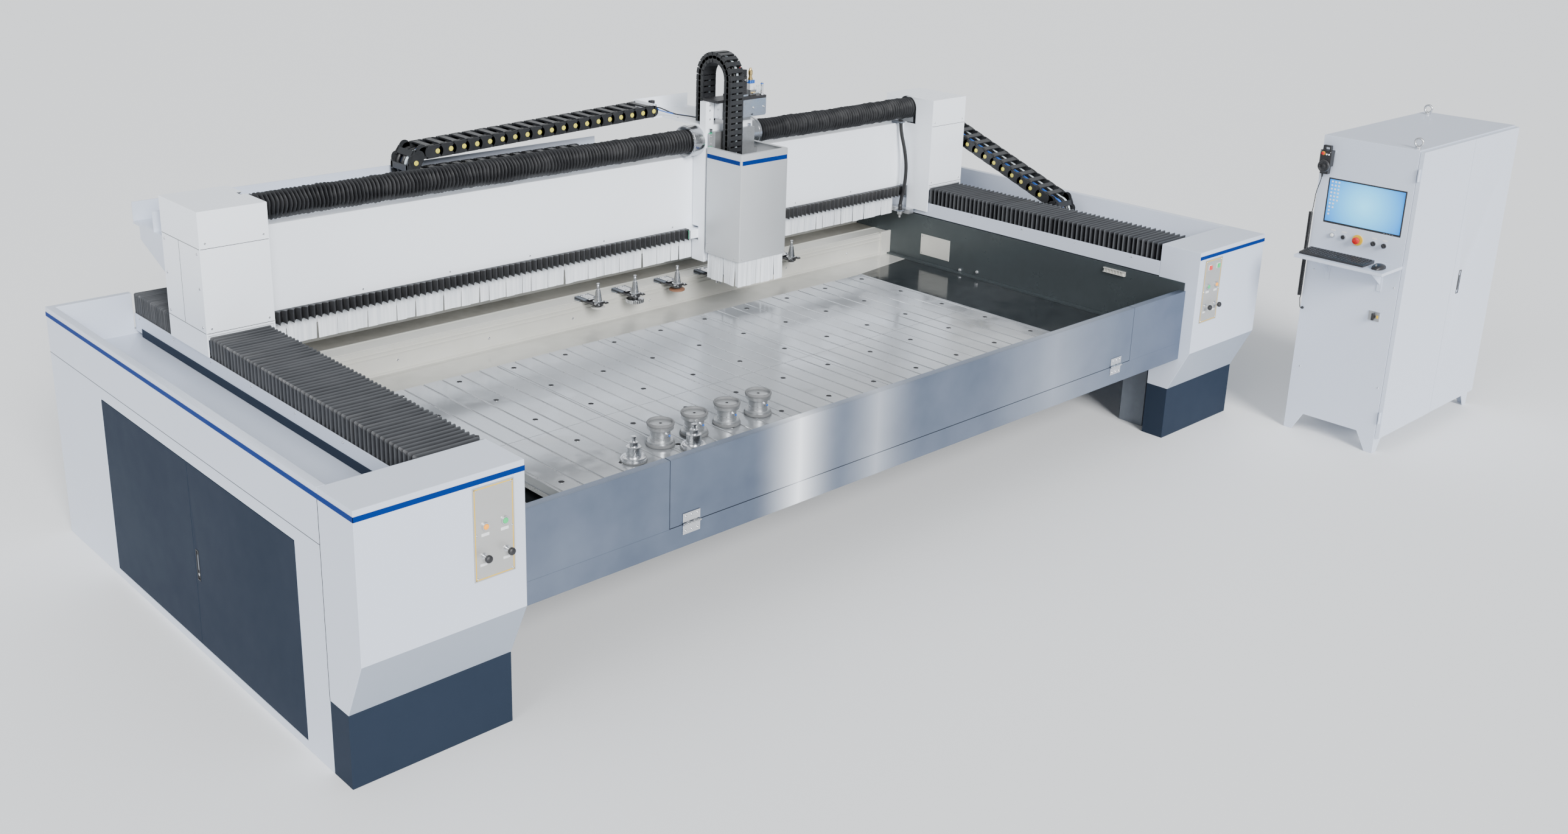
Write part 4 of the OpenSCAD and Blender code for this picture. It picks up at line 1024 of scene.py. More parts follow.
# ---------------------------------------------------------------- bed, basin and fascia
class ROUTER_OT_bed(bpy.types.Operator):
    """Dresses the base frame and makes the rail beds with their rails and the guard strips"""

    bl_idname = "router.bed"
    bl_label = "Bed"

    def execute(self, context):
        dress("base_frame", "frame paint", 3)
        x0, x1, y0, y1, z0, _ = span("rail_beds")
        top = 972
        beds = Maker("rail_beds_finished")
        for left, sign in ((x0, 1), (x1, -1)):
            def lay(look, a, b, *rest):
                low, high = sorted((left + sign * a, left + sign * b))
                beds.box(look, low, high, *rest)
            lay("frame paint", 0, 14, y0, y1, z0, top)
            lay("frame paint", 206, 220, y0, y1, z0, top)
            lay("frame paint", 14, 206, y0, y1, z0, z0 + 14)
            lay("frame paint", 14, 206, y0, y1, top - 14, top)
            lay("ground steel", 98, 122, y0 + 3, y1 - 5, top, 996)
            lay("ground steel", 101, 119, y0 + 3, y1 - 5, 996, 1001)
            lay("ground steel", 98, 122, y0 + 3, y1 - 5, 1001, 1010)
            lay("ground steel", 160, 180, y0 + 3, y1 - 5, top, 990)
            lay("ground steel", 163, 177, y0 + 3, y1 - 5, 990, 1000)
            for y in range(int(y0) + 60, int(y1) - 40, 120):
                beds.lathe("dark gap", (left + sign * 110, y, 1009.6), "z", [(0, 5.5), (0.8, 5.5)], 10)
        beds.done(ROOT, "rail_beds", bevel=1)
        self.strips()
        return {"FINISHED"}

    def strips(self):
        x0, x1, y0, y1 = span("guard_strips")[:4]
        strips = Maker("guard_strips_finished")
        for left, sign in ((x0, 1), (x1, -1)):
            def lay(a, b, c, d):
                low, high = sorted((left + sign * a, left + sign * b))
                strips.box("shell paint", low, high, y0, y1, c, d)
            lay(0, 4, 972, 1060)
            lay(4, 72, 972, 976)
            lay(298, 302, 972, 1057)
            lay(232, 298, 972, 976)
            for y in range(int(y0) + 150, int(y1), 400):
                strips.screw(left, y, 1045, "-x" if sign > 0 else "x", 5)
                strips.screw(left + sign * 302, y + 40, 1040, "x" if sign > 0 else "-x", 5)
        strips.done(ROOT, "guard_strips", bevel=1)
        band = Maker("guard_strip_feet")
        for left, sign in ((x0, 1), (x1, -1)):
            low, high = sorted((left - sign * 2.4, left + sign * 0.2))
            band.box("navy paint", low, high, y0 + 60, y1 - 80, 957, 998)
        band.done(ROOT, bevel=0.6)


class ROUTER_OT_basin(bpy.types.Operator):
    """Makes the water basin with its back step, ledge and side walls"""

    bl_idname = "router.basin"
    bl_label = "Basin"

    def execute(self, context):
        x0, x1, y0, y1, z0, z1 = span("basin")
        step_y, floor_z, ledge_z = 2330, 650, 800
        basin = Maker("basin_finished")
        table_x0, table_x1, _, table_y1 = span("table_plates")[:4]
        basin.box("wet floor", x0, x1, y0, table_y1, z0, floor_z)
        basin.prism("wet ledge", "z", [(x0, table_y1), (table_x1 - 40, table_y1),
                                       (table_x1 + 60, table_y1 + 230), (x1 - 6, table_y1 + 330),
                                       (x1 - 6, step_y), (x0, step_y)], z0 + 2, floor_z + 2)
        basin.box("wet floor", x0, x1, table_y1, step_y + 6, z0, floor_z)
        basin.box("wet ledge", x0 + 6, table_x0 - 30, 420, table_y1, floor_z, floor_z + 2)
        basin.box("basin steel", x0, x0 + 6, y0, y1, floor_z, z1)
        basin.box("dark steel", x1 - 6, x1, y0, y1, floor_z, z1)
        basin.box("basin steel", x0 + 6, x1 - 6, step_y, step_y + 6, floor_z, ledge_z)
        basin.box("basin steel", x0 + 6, x1 - 6, step_y + 6, step_y + 150, ledge_z - 6, ledge_z)
        basin.box("stained steel", x0 + 6, x1 - 6, step_y + 150, y1, ledge_z - 6, ledge_z - 0.5)
        basin.box("basin steel", x0 + 6, x1 - 6, y1 - 6, y1, ledge_z, 900)
        for y, z in ((step_y - 5, 774), (step_y - 5, 752), (step_y - 5, 664)):
            basin.box("basin steel", x0 + 6, x1 - 6, y, y + 5, z, z + 6)
        for y in (step_y + 16, step_y + 130):
            basin.box("basin steel", x0 + 6, x1 - 6, y, y + 5, ledge_z, ledge_z + 3)
        for x in range(int(x0) + 260, int(x1) - 100, 560):
            basin.screw(x, step_y, 715, "-y", 7)
        self.right_wall(basin, x1 - 6)
        basin.done(ROOT, "basin", bevel=1.5)
        return {"FINISHED"}

    def right_wall(self, basin, face):
        basin.box("basin steel", face - 3, face, 1800, 2047, 707, 845)
        for y in (1814, 2033):
            for z in (720, 832):
                basin.screw(face - 3, y, z, "-x", 5)
        for y, z in ((1560, 690), (1700, 672)):
            basin.lathe("zinc", (face, y, z), "-x", [(0, 13), (7, 13), (8, 11), (8, 7), (16, 7), (16.5, 5)],
                        6)
        basin.box("basin steel", face - 14, face, 469, 620, 914, 918)
        basin.box("basin steel", face - 14, face, 469, 620, 938, 942)
        basin.box("basin steel", face - 3, face, 469, 620, 918, 938)
        for y in range(482, 612, 21):
            basin.box("basin steel", face - 12, face - 3, y, y + 5, 918, 938)
        basin.box("basin steel", face - 90, face, 2318, 2330, 650, 812)
        basin.box("dark steel", face - 30, face, 84, 2318, 650, 662)


class ROUTER_OT_fascia(bpy.types.Operator):
    """Makes the front fascia, its flap and the two butt hinges"""

    bl_idname = "router.fascia"
    bl_label = "Fascia"

    def execute(self, context):
        x0, x1, _, y1, z0, z1 = span("fascia")
        fx0, fx1, _, _, _, fz1 = span("fascia_flap")
        front, thick = 70, 8
        seam_z = 615
        fascia = Maker("fascia_finished")
        fascia.box("fascia steel", x0, x1, front, front + thick, z0, seam_z - 3)
        fascia.box("fascia steel", x0, fx0 - 3, front, front + thick, seam_z - 3, z1)
        fascia.box("fascia steel", fx1 + 3, x1, front, front + thick, seam_z - 3, z1)
        fascia.box("fascia steel", x0, x1, front + thick, y1, z0, z0 + 8)
        for a, b in ((x0, fx0 - 3), (fx1 + 3, x1)):
            fascia.box("fascia steel", a, b, front + thick, front + 40, z1 - 4, z1)
        fascia.box("dark gap", fx0 - 14, fx1 + 14, front + thick + 0.5, front + thick + 2, seam_z - 14,
                   seam_z + 8)
        for x in (fx0 - 3, fx1 - 8):
            fascia.box("dark gap", x - 4, x + 14, front + thick + 0.5, front + thick + 2, seam_z, z1 - 4)
        flap = Maker("fascia_flap_finished")
        flap.box("fascia steel", fx0, fx1, front, front + thick, seam_z, fz1)
        flap.box("fascia steel", fx0 + 2, fx1 - 2, front + thick, front + 40, fz1 - 4, fz1)
        for left in (1530, 4605):
            self.leaf(fascia, left, 567, seam_z - 7, (0, 2, 4))
            self.leaf(flap, left, seam_z + 7, 663, (1, 3))
            fascia.lathe("zinc", (left - 1.5, 62, seam_z), "x", [(0, 2), (0.6, 3), (97.4, 3), (98, 2)], 14)
        fascia.done(ROOT, "fascia", bevel=1.2)
        flap.done("flap", "fascia_flap", bevel=1.2)
        return {"FINISHED"}

    def leaf(self, maker, left, z0, z1, knuckles):
        low = z0 < 600
        maker.box("zinc", left, left + 95, 66, 70, z0, z1)
        for k in knuckles:
            a, b = left + k * 19 + 0.4, left + k * 19 + 18.6
            maker.ring("zinc", (a, 62, 615), "x", b - a, 3.1, 6, 20)
            near = (z1, 610.5) if low else (619.5, z0)
            maker.box("zinc", a, b, 64, 69.5, *near)
        for x in (left + 15, left + 47, left + 80):
            maker.screw(x, 66, (z0 + z1) / 2 + (-6 if low else 6), "-y", 5.5)


# ---------------------------------------------------------------- table
class ROUTER_OT_table(bpy.types.Operator):
    """Makes the grooved table plates with their clamping holes"""

    bl_idname = "router.table"
    bl_label = "Table"

    def execute(self, context):
        x0, x1, y0, y1, z0, z1 = span("table_plates")
        pitch, gap, seam_y, thick = (x1 + 3 - x0) / 5, 3, 950, 40
        groove = 320 / 3
        plates = Maker("table_plates_finished")
        for column in range(5):
            left = x0 + column * pitch
            right = left + pitch - gap
            outline = [(left, z1 - thick), (right, z1 - thick), (right, z1)]
            first = 1207 + groove / 2
            cuts = [first + k * groove for k in range(-1, 31) if left + 12 < first + k * groove < right - 12]
            for x in reversed(cuts):
                outline += [(x + 6, z1), (x + 4, z1 - 3.5), (x - 4, z1 - 3.5), (x - 6, z1)]
            outline.append((left, z1))
            for a, b in ((y0, seam_y), (seam_y + gap, y1)):
                plates.prism("wet table", "y", outline, a, b)
                for dx in (120, 500):
                    plates.box("frame paint", left + dx, left + dx + 40, a, b, z0, z1 - thick)
            for a, b in ((y0, seam_y), (seam_y + gap, y1)):
                for x in cuts:
                    plates.box("groove steel", x - 4.2, x + 4.2, a + 2, b - 2, z1 - 3.8, z1 - 3.2)
        for x in (x0, x1):
            plates.box("ground steel", x - 5 if x == x0 else x, x if x == x0 else x + 5, y0 + 40, y1 - 40,
                       700, 722)
        plates.done(ROOT, "table_plates", bevel=1)
        hole = Maker("clamp_hole")
        hole.lathe("dark gap", (0, 0, -0.6), "z", [(0, 14), (0.9, 14), (0.95, 13)], 16)
        rim = Maker("clamp_rim")
        rim.ring("ground steel", (0, 0, -0.5), "z", 1.0, 13.8, 15, 16)
        units = unit_mesh(hole), unit_mesh(rim)
        for number in range(5):
            y = 474 + number * 320
            path = [(1207, y, z1), (1207 + 3200, y, z1)]
            for unit, look in zip(units, ("dark gap", "ground steel")):
                row(f"{unit.name.split('.')[0]}s_{number}", path, unit, 11, look, ROOT, "table_aluminium",
                    pivot="Z")
        drop(*units)
        return {"FINISHED"}


class ROUTER_OT_tooling(bpy.types.Operator):
    """Makes the tool forks, the parked tool holders, the vacuum cups and the locating pins"""

    bl_idname = "router.tooling"
    bl_label = "Tooling"

    def execute(self, context):
        centres = (2745, 3010, 3327, 3640, 4265)
        y, z = 2230, 808
        forks = Maker("tool_forks_finished")
        for x in centres:
            notch = [(x + 24.2 * math.cos(a), y + 24.2 * math.sin(a)) for a in
                     (math.pi * k / 10 for k in range(11))]
            outline = [(x + 48, 2194), (x + 48, 2390), (x - 48, 2390), (x - 48, 2194), (x - 24.2, 2194)]
            forks.prism("black plastic", "z", outline + list(reversed(notch)) + [(x + 24.2, 2194)], z, z + 7)
            forks.box("frame paint", x - 48, x + 48, 2300, 2388, z + 7, z + 13)
            forks.box("ground steel", x - 30, x + 30, 2270, 2380, z + 13, z + 17)
            forks.box("frame paint", x - 48, x + 48, 2338, 2390, 800, z)
            for sx, sy in ((-18, 2290), (18, 2290), (-18, 2362), (18, 2362)):
                forks.screw(x + sx, sy, z + 17, "z", 7)
            for side in (-1, 1):
                forks.lathe("ground steel", (x + side * 36, 2206, z + 7), "z", [(0, 9), (5, 9), (6, 7)], 16)
        forks.done(ROOT, "tool_forks", bevel=0.8)
        self.holders(centres, y, z)
        self.cups()
        return {"FINISHED"}

    def holders(self, centres, y, z):
        tools = Maker("tool_holders_finished")
        heads = (("pale wheel", 40, 7), ("ground steel", 50, 24), ("brown wheel", 46, 12),
                 ("ground steel", 8, 26), ("pale wheel", 22, 10))
        for x, (look, radius, tall) in zip(centres, heads):
            tools.lathe("ground steel", (x, y, z - 9), "z", [
                (0, 28), (1.5, 31.5), (8, 31.5), (9.5, 28), (11, 23.4), (15, 23.4), (17, 28), (18.5, 31.5),
                (24, 31.5), (26, 29), (26, 22.2), (92, 12.7), (92.5, 10), (93, 8), (114, 8), (117, 6.5),
                (119, 9.5), (127, 9.5), (129, 6)], 36)
            tools.box("dark gap", x - 8, x + 8, y - 32, y - 23, z - 8.5, z + 16)
            tools.lathe("black plastic", (x, y, z - 18), "z", [(0, 17), (1.5, 20), (7.5, 20), (9, 18)], 12)
            bottom = z - 18 - tall
            if radius < 20:
                tools.lathe(look, (x, y, bottom), "z", [(0, 5), (3, 8), (tall, 8)], 16)
                continue
            tools.lathe(look, (x, y, bottom), "z", [(0, radius - 3), (2, radius), (tall - 2, radius),
                                                    (tall - 1, radius - 8), (tall, 16)], 40)
            if tall > 20:
                for k in range(28):
                    a = 2 * math.pi * k / 28
                    cx, cy = x + radius * math.cos(a), y + radius * math.sin(a)
                    tools.lathe("zinc", (cx, cy, bottom + 2), "z", [(0, 3), (tall - 5, 3)], 6)
        tools.done(ROOT, "tool_holders", smooth=40)

    def cups(self):
        top = span("table_plates")[5]
        cups = Maker("vacuum_cups_finished")
        for x in (1786, 1984, 2182, 2380):
            self.cup(cups, x, 525, top)
        for x, y in ((1580, 457), (1875, 400)):
            cups.lathe("grey rubber", (x, y, top), "z", [(0, 57), (2, 60), (7, 60), (8, 58)], 40)
            cups.lathe("zinc", (x, y, top + 8), "z", [
                (0, 58), (6, 58), (7, 54), (14, 54), (16, 50), (16, 34), (60, 34), (62, 31), (62, 20),
                (80, 19), (82, 16), (82, 8), (100, 8), (101, 12), (106, 12), (108, 8)], 40)
            for a in (0.6, 2.7, 4.8):
                cups.screw(x + 44 * math.cos(a), y + 44 * math.sin(a), top + 24, "z", 5)
        cups.done(ROOT, "vacuum_cups", smooth=40)

    def cup(self, cups, x, y, top):
        cups.lathe("grey rubber", (x, y, top), "z", [(0, 62), (3, 66), (10, 66), (13, 63), (14, 60)], 48)
        cups.lathe("cast block", (x, y, top + 14), "z", [
            (0, 60), (9, 60), (12, 57), (12, 46), (16, 45), (60, 45), (64, 47), (64, 58), (66, 60), (80, 60),
            (82, 58)], 48)
        for z in (28, 44):
            cups.loft("zinc", (x, y, top + z), "z", [(0, 44), (1, 45.6), (3, 45.6), (4, 44)], 48)
        cups.loft("grey rubber", (x, y, top + 96), "z",
                  [(0, 52), (0, 61), (4, 63), (10, 63), (14, 61), (14, 55), (9, 52)], 48)
        cups.lathe("cast block", (x, y, top + 96), "z", [(0, 52), (4, 52), (5, 50)], 40)
        cups.lathe("dark gap", (x, y, top + 101), "z", [(0, 7), (0.6, 7)], 12)
        cups.lathe("zinc", (x, y - 44, top + 60), "-y", [(0, 8), (8, 8), (8, 6), (16, 6), (17, 5)], 6)
        cups.lathe("hose blue", (x, y - 60, top + 60), "-y", [(0, 5), (4, 5)], 12)


# ---------------------------------------------------------------- bellows
def arch(x0, x1, z0, z1, inset, corner):
    """An inverted U in X and Z, drawn in by inset, with cut corners."""
    a, b, top = x0 + inset, x1 - inset, z1 - inset * 1.15
    return [(a, z0), (a, (z0 + top) / 2), (a, top - corner), (a + corner, top),
            ((a + b) / 2, top - corner * 0.15), (b - corner, top), (b, top - corner), (b, (z0 + top) / 2),
            (b, z0)]


class ROUTER_OT_way_covers(bpy.types.Operator):
    """Makes the pleated covers over the rails, in front of and behind the columns"""

    bl_idname = "router.way_covers"
    bl_label = "Way covers"

    def execute(self, context):
        draw = random.Random(4)
        for node, still in (("front_bellows", "low"), ("rear_bellows", "high")):
            x0, x1, y0, y1, z0, z1 = span(node)
            ends = (y0, y1) if still == "low" else (y1, y0)
            for side, left in (("left", x0 - 4), ("right", x1 + 4 - 294)):
                mesh = self.pleats(draw, left, left + 294, y0, y1, z0 - 2, z1)
                mesh.materials.append(finish("folded cover"))
                middle = left + 147
                settle(f"{node}_{side}", mesh,
                       (ROOT, "gantry", at(middle, ends[0], z0), at(middle, ends[1], z0)),
                       node, smooth=20)
        return {"FINISHED"}

    def pleats(self, draw, x0, x1, y0, y1, z0, z1):
        """A zigzag skin over a plain lining, closed at both ends."""
        pitch = sizes().way_pleat * (1 if y1 - y0 > 1000 else 0.6)
        count = round((y1 - y0) * MM / pitch)
        rings = []
        for k in range(2 * count + 1):
            peak = k % 2 == 0
            y = y0 + (y1 - y0) * k / (2 * count) + (0 if k in (0, 2 * count) else draw.uniform(-2.2, 2.2))
            inset = draw.uniform(0, 1.6) if peak else 25 + draw.uniform(-1.5, 1.5)
            outline = arch(x0, x1, z0, z1, inset, 5 if peak else 16)
            lean = 0 if k in (0, 2 * count) else draw.uniform(-1.5, 1.5)
            rings.append([(x, y + lean * (z - z0) / (z1 - z0), z) for x, z in outline])
        lining = [[(x, y, z) for x, z in arch(x0, x1, z0, z1, 33, 16)] for y in (y0, y1)]
        n = len(rings[0])
        points = [at(*p) for ring in rings + lining for p in ring]
        faces = []
        for k in range(len(rings) - 1):
            for i in range(n - 1):
                faces.append((k * n + i, k * n + i + 1, (k + 1) * n + i + 1, (k + 1) * n + i))
        a, b = len(rings) * n, (len(rings) + 1) * n
        last = (len(rings) - 1) * n
        for i in range(n - 1):
            faces.append((a + i, b + i, b + i + 1, a + i + 1))
            faces.append((i, a + i, a + i + 1, i + 1))
            faces.append((last + i, last + i + 1, b + i + 1, b + i))
        left = [k * n for k in range(len(rings))]
        right = [k * n + n - 1 for k in range(len(rings))]
        faces.append(tuple(left + [b, a]))
        faces.append(tuple(right + [b + n - 1, a + n - 1]))
        mesh = bpy.data.meshes.new("way_cover")
        mesh.from_pydata(points, [], faces)
        mark_folds(mesh, [1.0 if k % 2 == 0 else 0.0 for k in range(len(rings))
                          for _ in range(n)] + [0.0] * (2 * n))
        fix_normals(mesh)
        return mesh


def fix_normals(mesh):
    bm = bmesh.new()
    bm.from_mesh(mesh)
    bmesh.ops.recalc_face_normals(bm, faces=bm.faces)
    bmesh.ops.triangulate(bm, faces=[f for f in bm.faces if len(f.verts) > 4])
    bm.to_mesh(mesh)
    bm.free()


def closed_rings(name, rings, look, folds):
    """A skin through rings of equal length, capped at both ends; folds holds each ring's height."""
    n = len(rings[0])
    points = [at(*p) for ring in rings for p in ring]
    faces = [(k * n + i, k * n + (i + 1) % n, (k + 1) * n + (i + 1) % n, (k + 1) * n + i)
             for k in range(len(rings) - 1) for i in range(n)]
    faces += [tuple(range(n)), tuple((len(rings) - 1) * n + i for i in range(n))]
    mesh = bpy.data.meshes.new(name)
    mesh.from_pydata(points, [], faces)
    mesh.materials.append(finish(look))
    mark_folds(mesh, [height for height in folds for _ in range(n)])
    bm = bmesh.new()
    bm.from_mesh(mesh)
    bmesh.ops.recalc_face_normals(bm, faces=bm.faces)
    bm.to_mesh(mesh)
    bm.free()
    return mesh


class ROUTER_OT_beam_bellows(bpy.types.Operator):
    """Makes the round bellows over the guide bar and the flat ones over the lower rail"""

    bl_idname = "router.beam_bellows"
    bl_label = "Beam bellows"

    def execute(self, context):
        draw = random.Random(9)
        x0, x1, y0, y1, z0, z1 = span("tube_bellows")
        centre = ((y0 + y1) / 2, (z0 + z1) / 2)
        plate_left, plate_right = 3449, 3812
        for side, fixed, moving in (("left", x0, plate_left - 1), ("right", x1, plate_right + 1)):
            mesh = self.tube(draw, f"tube_bellows_{side}", fixed, moving, *centre)
            settle(mesh.name, mesh, ("gantry", "carriage", at(fixed, *centre), at(moving, *centre)),
                   "tube_bellows", smooth=60)
        x0, x1, y0, y1, z0, z1 = span("strip_bellows")
        for side, fixed, moving in (("left", x0, plate_left - 66), ("right", x1, plate_right + 66)):
            mesh = self.strip(draw, f"strip_bellows_{side}", fixed, moving, y0, y1, z0, z1)
            settle(mesh.name, mesh, ("gantry", "carriage", at(fixed, y0, z0), at(moving, y0, z0)),
                   "strip_bellows", smooth=50)
        return {"FINISHED"}

    def tube(self, draw, name, fixed, moving, y, z):
        count = round(abs(moving - fixed) * MM / sizes().tube_pleat)
        sides = 36
        dents = [draw.uniform(0, 2 * math.pi) for _ in range(6)]
        rings = []
        for k in range(2 * count + 1):
            share = k / (2 * count)
            x = fixed + (moving - fixed) * share
            radius = 71 if k % 2 == 0 else 56.5
            wave = draw.uniform(-3.2, 0.6)
            sag = -1.5 * math.sin(math.pi * share) - 1.2 * math.sin(9 * share + dents[0])
            ring = []
            for i in range(sides):
                a = 2 * math.pi * i / sides
                wrinkle = 1.6 * math.sin(3 * a + dents[1] + share * 40) + 1.1 * math.sin(7 * a + dents[2]
                                                                                         - share * 90)
                r = radius - 2 + wave + wrinkle * 0.7
                shift = 1.9 * math.sin(2 * a + dents[3] + share * 60) + 1.3 * math.sin(5 * a + dents[4]
                                                                                       + share * 25)
                end = 0 if k in (0, 2 * count) else shift
                ring.append((x + end, y + r * math.sin(a), z + sag + r * math.cos(a)))
            rings.append(ring)
        return closed_rings(name, rings, "folded tube",
                            [1.0 if k % 2 == 0 else 0.0 for k in range(len(rings))])

    def strip(self, draw, name, fixed, moving, y0, y1, z0, z1):
        count = round(abs(moving - fixed) * MM / sizes().strip_pleat)
        rings = []
        for k in range(4 * count + 1):
            phase = k % 4
            x = fixed + (moving - fixed) * k / (4 * count)
            depth = (0, 12, 20, 12)[phase] + draw.uniform(-0.8, 0.8)
            hem = (0, 8, 14, 8)[phase]
            rings.append([(x, y0 + depth, z0 + hem), (x, y0 + depth * 0.8, z0 + 12),
                          (x, y0 + depth * 0.8, z1 - 10), (x, y0 + depth, z1 - 2), (x, y1, z1),
                          (x, y1, z0 + hem)])
        return closed_rings(name, rings, "folded strip",
                            [(1.0, 0.4, 0.0, 0.4)[k % 4] for k in range(len(rings))])


# ---------------------------------------------------------------- bridge
class ROUTER_OT_bridge(bpy.types.Operator):
    """Dresses the columns and the beam, and makes the guide bar, the lower rail and the chain tray"""

    bl_idname = "router.bridge"
    bl_label = "Bridge"

    def execute(self, context):
        dress("gantry_column_left", "beam paint", 3)
        dress("gantry_column_right", "beam paint", 3)
        dress("cross_beam", "beam paint", 2)
        dress("chain_tray", "shell paint", 1)
        self.guides()
        trim = Maker("bridge_trim")
        for node, sign in (("gantry_column_left", 1), ("gantry_column_right", -1)):
            x0, _, y0, y1, _, _ = span(node)
            outer = x0 if sign > 0 else x0 + 326
            inner = outer + sign * 326
            a, b = sorted((outer, inner))
            for z in (1176, 1565):
                trim.box("dark gap", a + 3, b - 3, y0 - 0.5, y0 + 0.5, z - 1.2, z + 1.2)
                side = sorted((outer - sign * 0.5, outer + sign * 0.5))
                trim.box("dark gap", *side, y0 + 3, y1 - 3, z - 1.2, z + 1.2)
            side = sorted((outer - sign * 0.5, outer + sign * 0.5))
            trim.box("dark gap", *side, 2226.8, 2229.2, 1178, 1563)
            for z in (1200, 1380, 1540):
                for y in (y0 + 30, y1 - 30):
                    trim.screw(outer, y, z, "-x" if sign > 0 else "x", 6)
            for x in (a + 26, b - 26):
                for z in (1196, 1590):
                    trim.screw(x, y0, z, "-y", 5)
        beam_y = span("cross_beam")[2]
        for x in range(800, 5300, 500):
            trim.screw(x, beam_y, 1160, "-y", 5)
        trim.done("gantry")
        return {"FINISHED"}

    def guides(self):
        x0, x1 = span("beam_rails")[:2]
        bar_y, bar_z = 2227, 1660
        guides = Maker("beam_rails_finished")
        guides.lathe("ground steel", (x0, bar_y, bar_z), "x",
                     [(0, 22), (3, 25), (x1 - x0 - 3, 25), (x1 - x0, 22)], 32)
        for a in (x0 + 5, x1 - 40):
            guides.prism("cast block", "x", [(bar_y - 35, 1563), (bar_y + 75, 1563), (bar_y + 75, 1600),
                                             (bar_y + 35, 1695), (bar_y - 35, 1695)], a, a + 35)
        guides.prism("ground steel", "x", [(2225, 1100), (2247, 1100), (2247, 1125), (2225, 1125),
                                           (2225, 1120), (2229, 1116), (2229, 1109), (2225, 1105)], 720, 5280)
        guides.done("gantry", "beam_rails", bevel=0.8)


class ROUTER_OT_curtain(bpy.types.Operator):
    """Hangs the strip curtain under the beam"""

    bl_idname = "router.curtain"
    bl_label = "Strip curtain"

    def execute(self, context):
        x0, x1, y0, y1, z0, z1 = span("strip_curtain")
        wide = sizes().strip / MM
        half = wide / 2 - 0.6
        strip = Maker("curtain_strip")
        strip.prism("strip vinyl", "z", [(-half, -0.6), (-half * 0.4, -1.6), (half * 0.4, -1.5), (half, -0.2),
                                         (half, 1.2), (half * 0.4, 0.1), (-half * 0.4, 0.0), (-half, 0.8)],
                    z0 - z1, 0)
        unit = unit_mesh(strip)
        count = round((x1 - x0) / wide)
        middle = (y0 + y1) / 2
        row("strip_curtain_strips", [(x0 + wide / 2, middle, z1), (x1 - wide / 2, middle, z1)], unit, count,
            "strip vinyl", "gantry", "curtain_vinyl", "strip_curtain", pivot="Z", wobble=0.03, seed=5)
        drop(unit)
        holder = Maker("curtain_holder")
        holder.box("zinc", x0 - 10, x1 + 10, y0 - 4, y0 - 1.5, z1 - 34, z1 + 1)
        for x in range(int(x0) + 40, int(x1), 250):
            holder.screw(x, y0 - 4, z1 - 17, "-y", 4)
        holder.done("gantry")
        return {"FINISHED"}


class ROUTER_OT_setter(bpy.types.Operator):
    """Makes the tool setter on its profile and the hose that comes down to it"""

    bl_idname = "router.setter"
    bl_label = "Tool setter"

    def execute(self, context):
        x, y = 5214, 2178
        setter = Maker("tool_setter_finished")
        setter.prism("profile", "y", [(5236, 970), (5284, 970), (5284, 1000), (5236, 1000), (5236, 994),
                                      (5242, 994), (5242, 988), (5236, 988), (5236, 982), (5242, 982),
                                      (5242, 976), (5236, 976)], 2121, 2410)
        setter.box("frame paint", 5196, 5236, 2161, 2201, 984, 992)
        for dy in (2168, 2194):
            setter.screw(5229, dy, 992, "z", 4)
        setter.lathe("zinc", (x, y, 940), "z", [(0, 5), (2, 8), (15, 9), (18, 9)], 24)
        setter.lathe("grey rubber", (x, y, 956), "z", [(0, 10), (2, 12), (4, 10), (6, 12), (8, 10)], 24)
        setter.lathe("cast block", (x, y, 962), "z", [(0, 14), (2, 17), (22, 17)], 32)
        setter.lathe("black plastic", (x, y, 992), "z",
                     [(0, 15), (12, 15), (13, 13.5), (16, 13.5), (17, 15), (34, 15), (38, 13)], 12)
        setter.box("frame paint", 5195, 5235, 2196, 2277, 1570, 1578)
        setter.box("frame paint", 5195, 5235, 2248, 2277, 1562, 1570)
        setter.lathe("black plastic", (x, 2212, 1566), "z", [(0, 15), (3, 16), (18, 16), (20, 14)], 6)
        setter.done("gantry", "tool_setter", bevel=0.6)
        route = [(5214, 2212, 1570), (5214, 2211, 1550), (5215, 2207, 1520), (5218, 2201, 1485),
                 (5223, 2192, 1445), (5229, 2183, 1400), (5234, 2175, 1350), (5237, 2169, 1300),
                 (5237, 2166, 1250), (5234, 2165, 1200), (5229, 2166, 1155), (5224, 2169, 1115),
                 (5219, 2173, 1080), (5215, 2176, 1050), (5214, 2178, 1030)]
        path = eased(route, 3)
        hose = Maker("setter_hose_cord")
        hose.sweep("lead jacket", path, 12, 14)
        cord = hose.done("gantry", "setter_hose", smooth=60)
        return {"FINISHED"}


def eased(route, steps):
    """A smooth line through the points of a route."""
    points = [Vector(p) for p in route]
    out = []
    for i in range(len(points) - 1):
        a, b = points[max(i - 1, 0)], points[i]
        c, d = points[i + 1], points[min(i + 2, len(points) - 1)]
        for k in range(steps):
            t = k / steps
            out.append(0.5 * ((2 * b) + (c - a) * t + (2 * a - 5 * b + 4 * c - d) * t * t
                              + (3 * b - 3 * c + d - a) * t ** 3))
    return out + [points[-1]]


def run_length(points):
    return sum((b - a).length for a, b in zip(points, points[1:]))


# ---------------------------------------------------------------- energy chains
def stadium(a, b, radius, steps=9):
    """A flat bar with round ends, from a to b between the ends' centres."""
    right = [(b + radius * math.cos(t), radius * math.sin(t))
             for t in (math.pi * (k / steps - 0.5) for k in range(steps + 1))]
    left = [(a - radius * math.cos(t), -radius * math.sin(t))
            for t in (math.pi * (k / steps - 0.5) for k in range(steps + 1))]
    return right + left


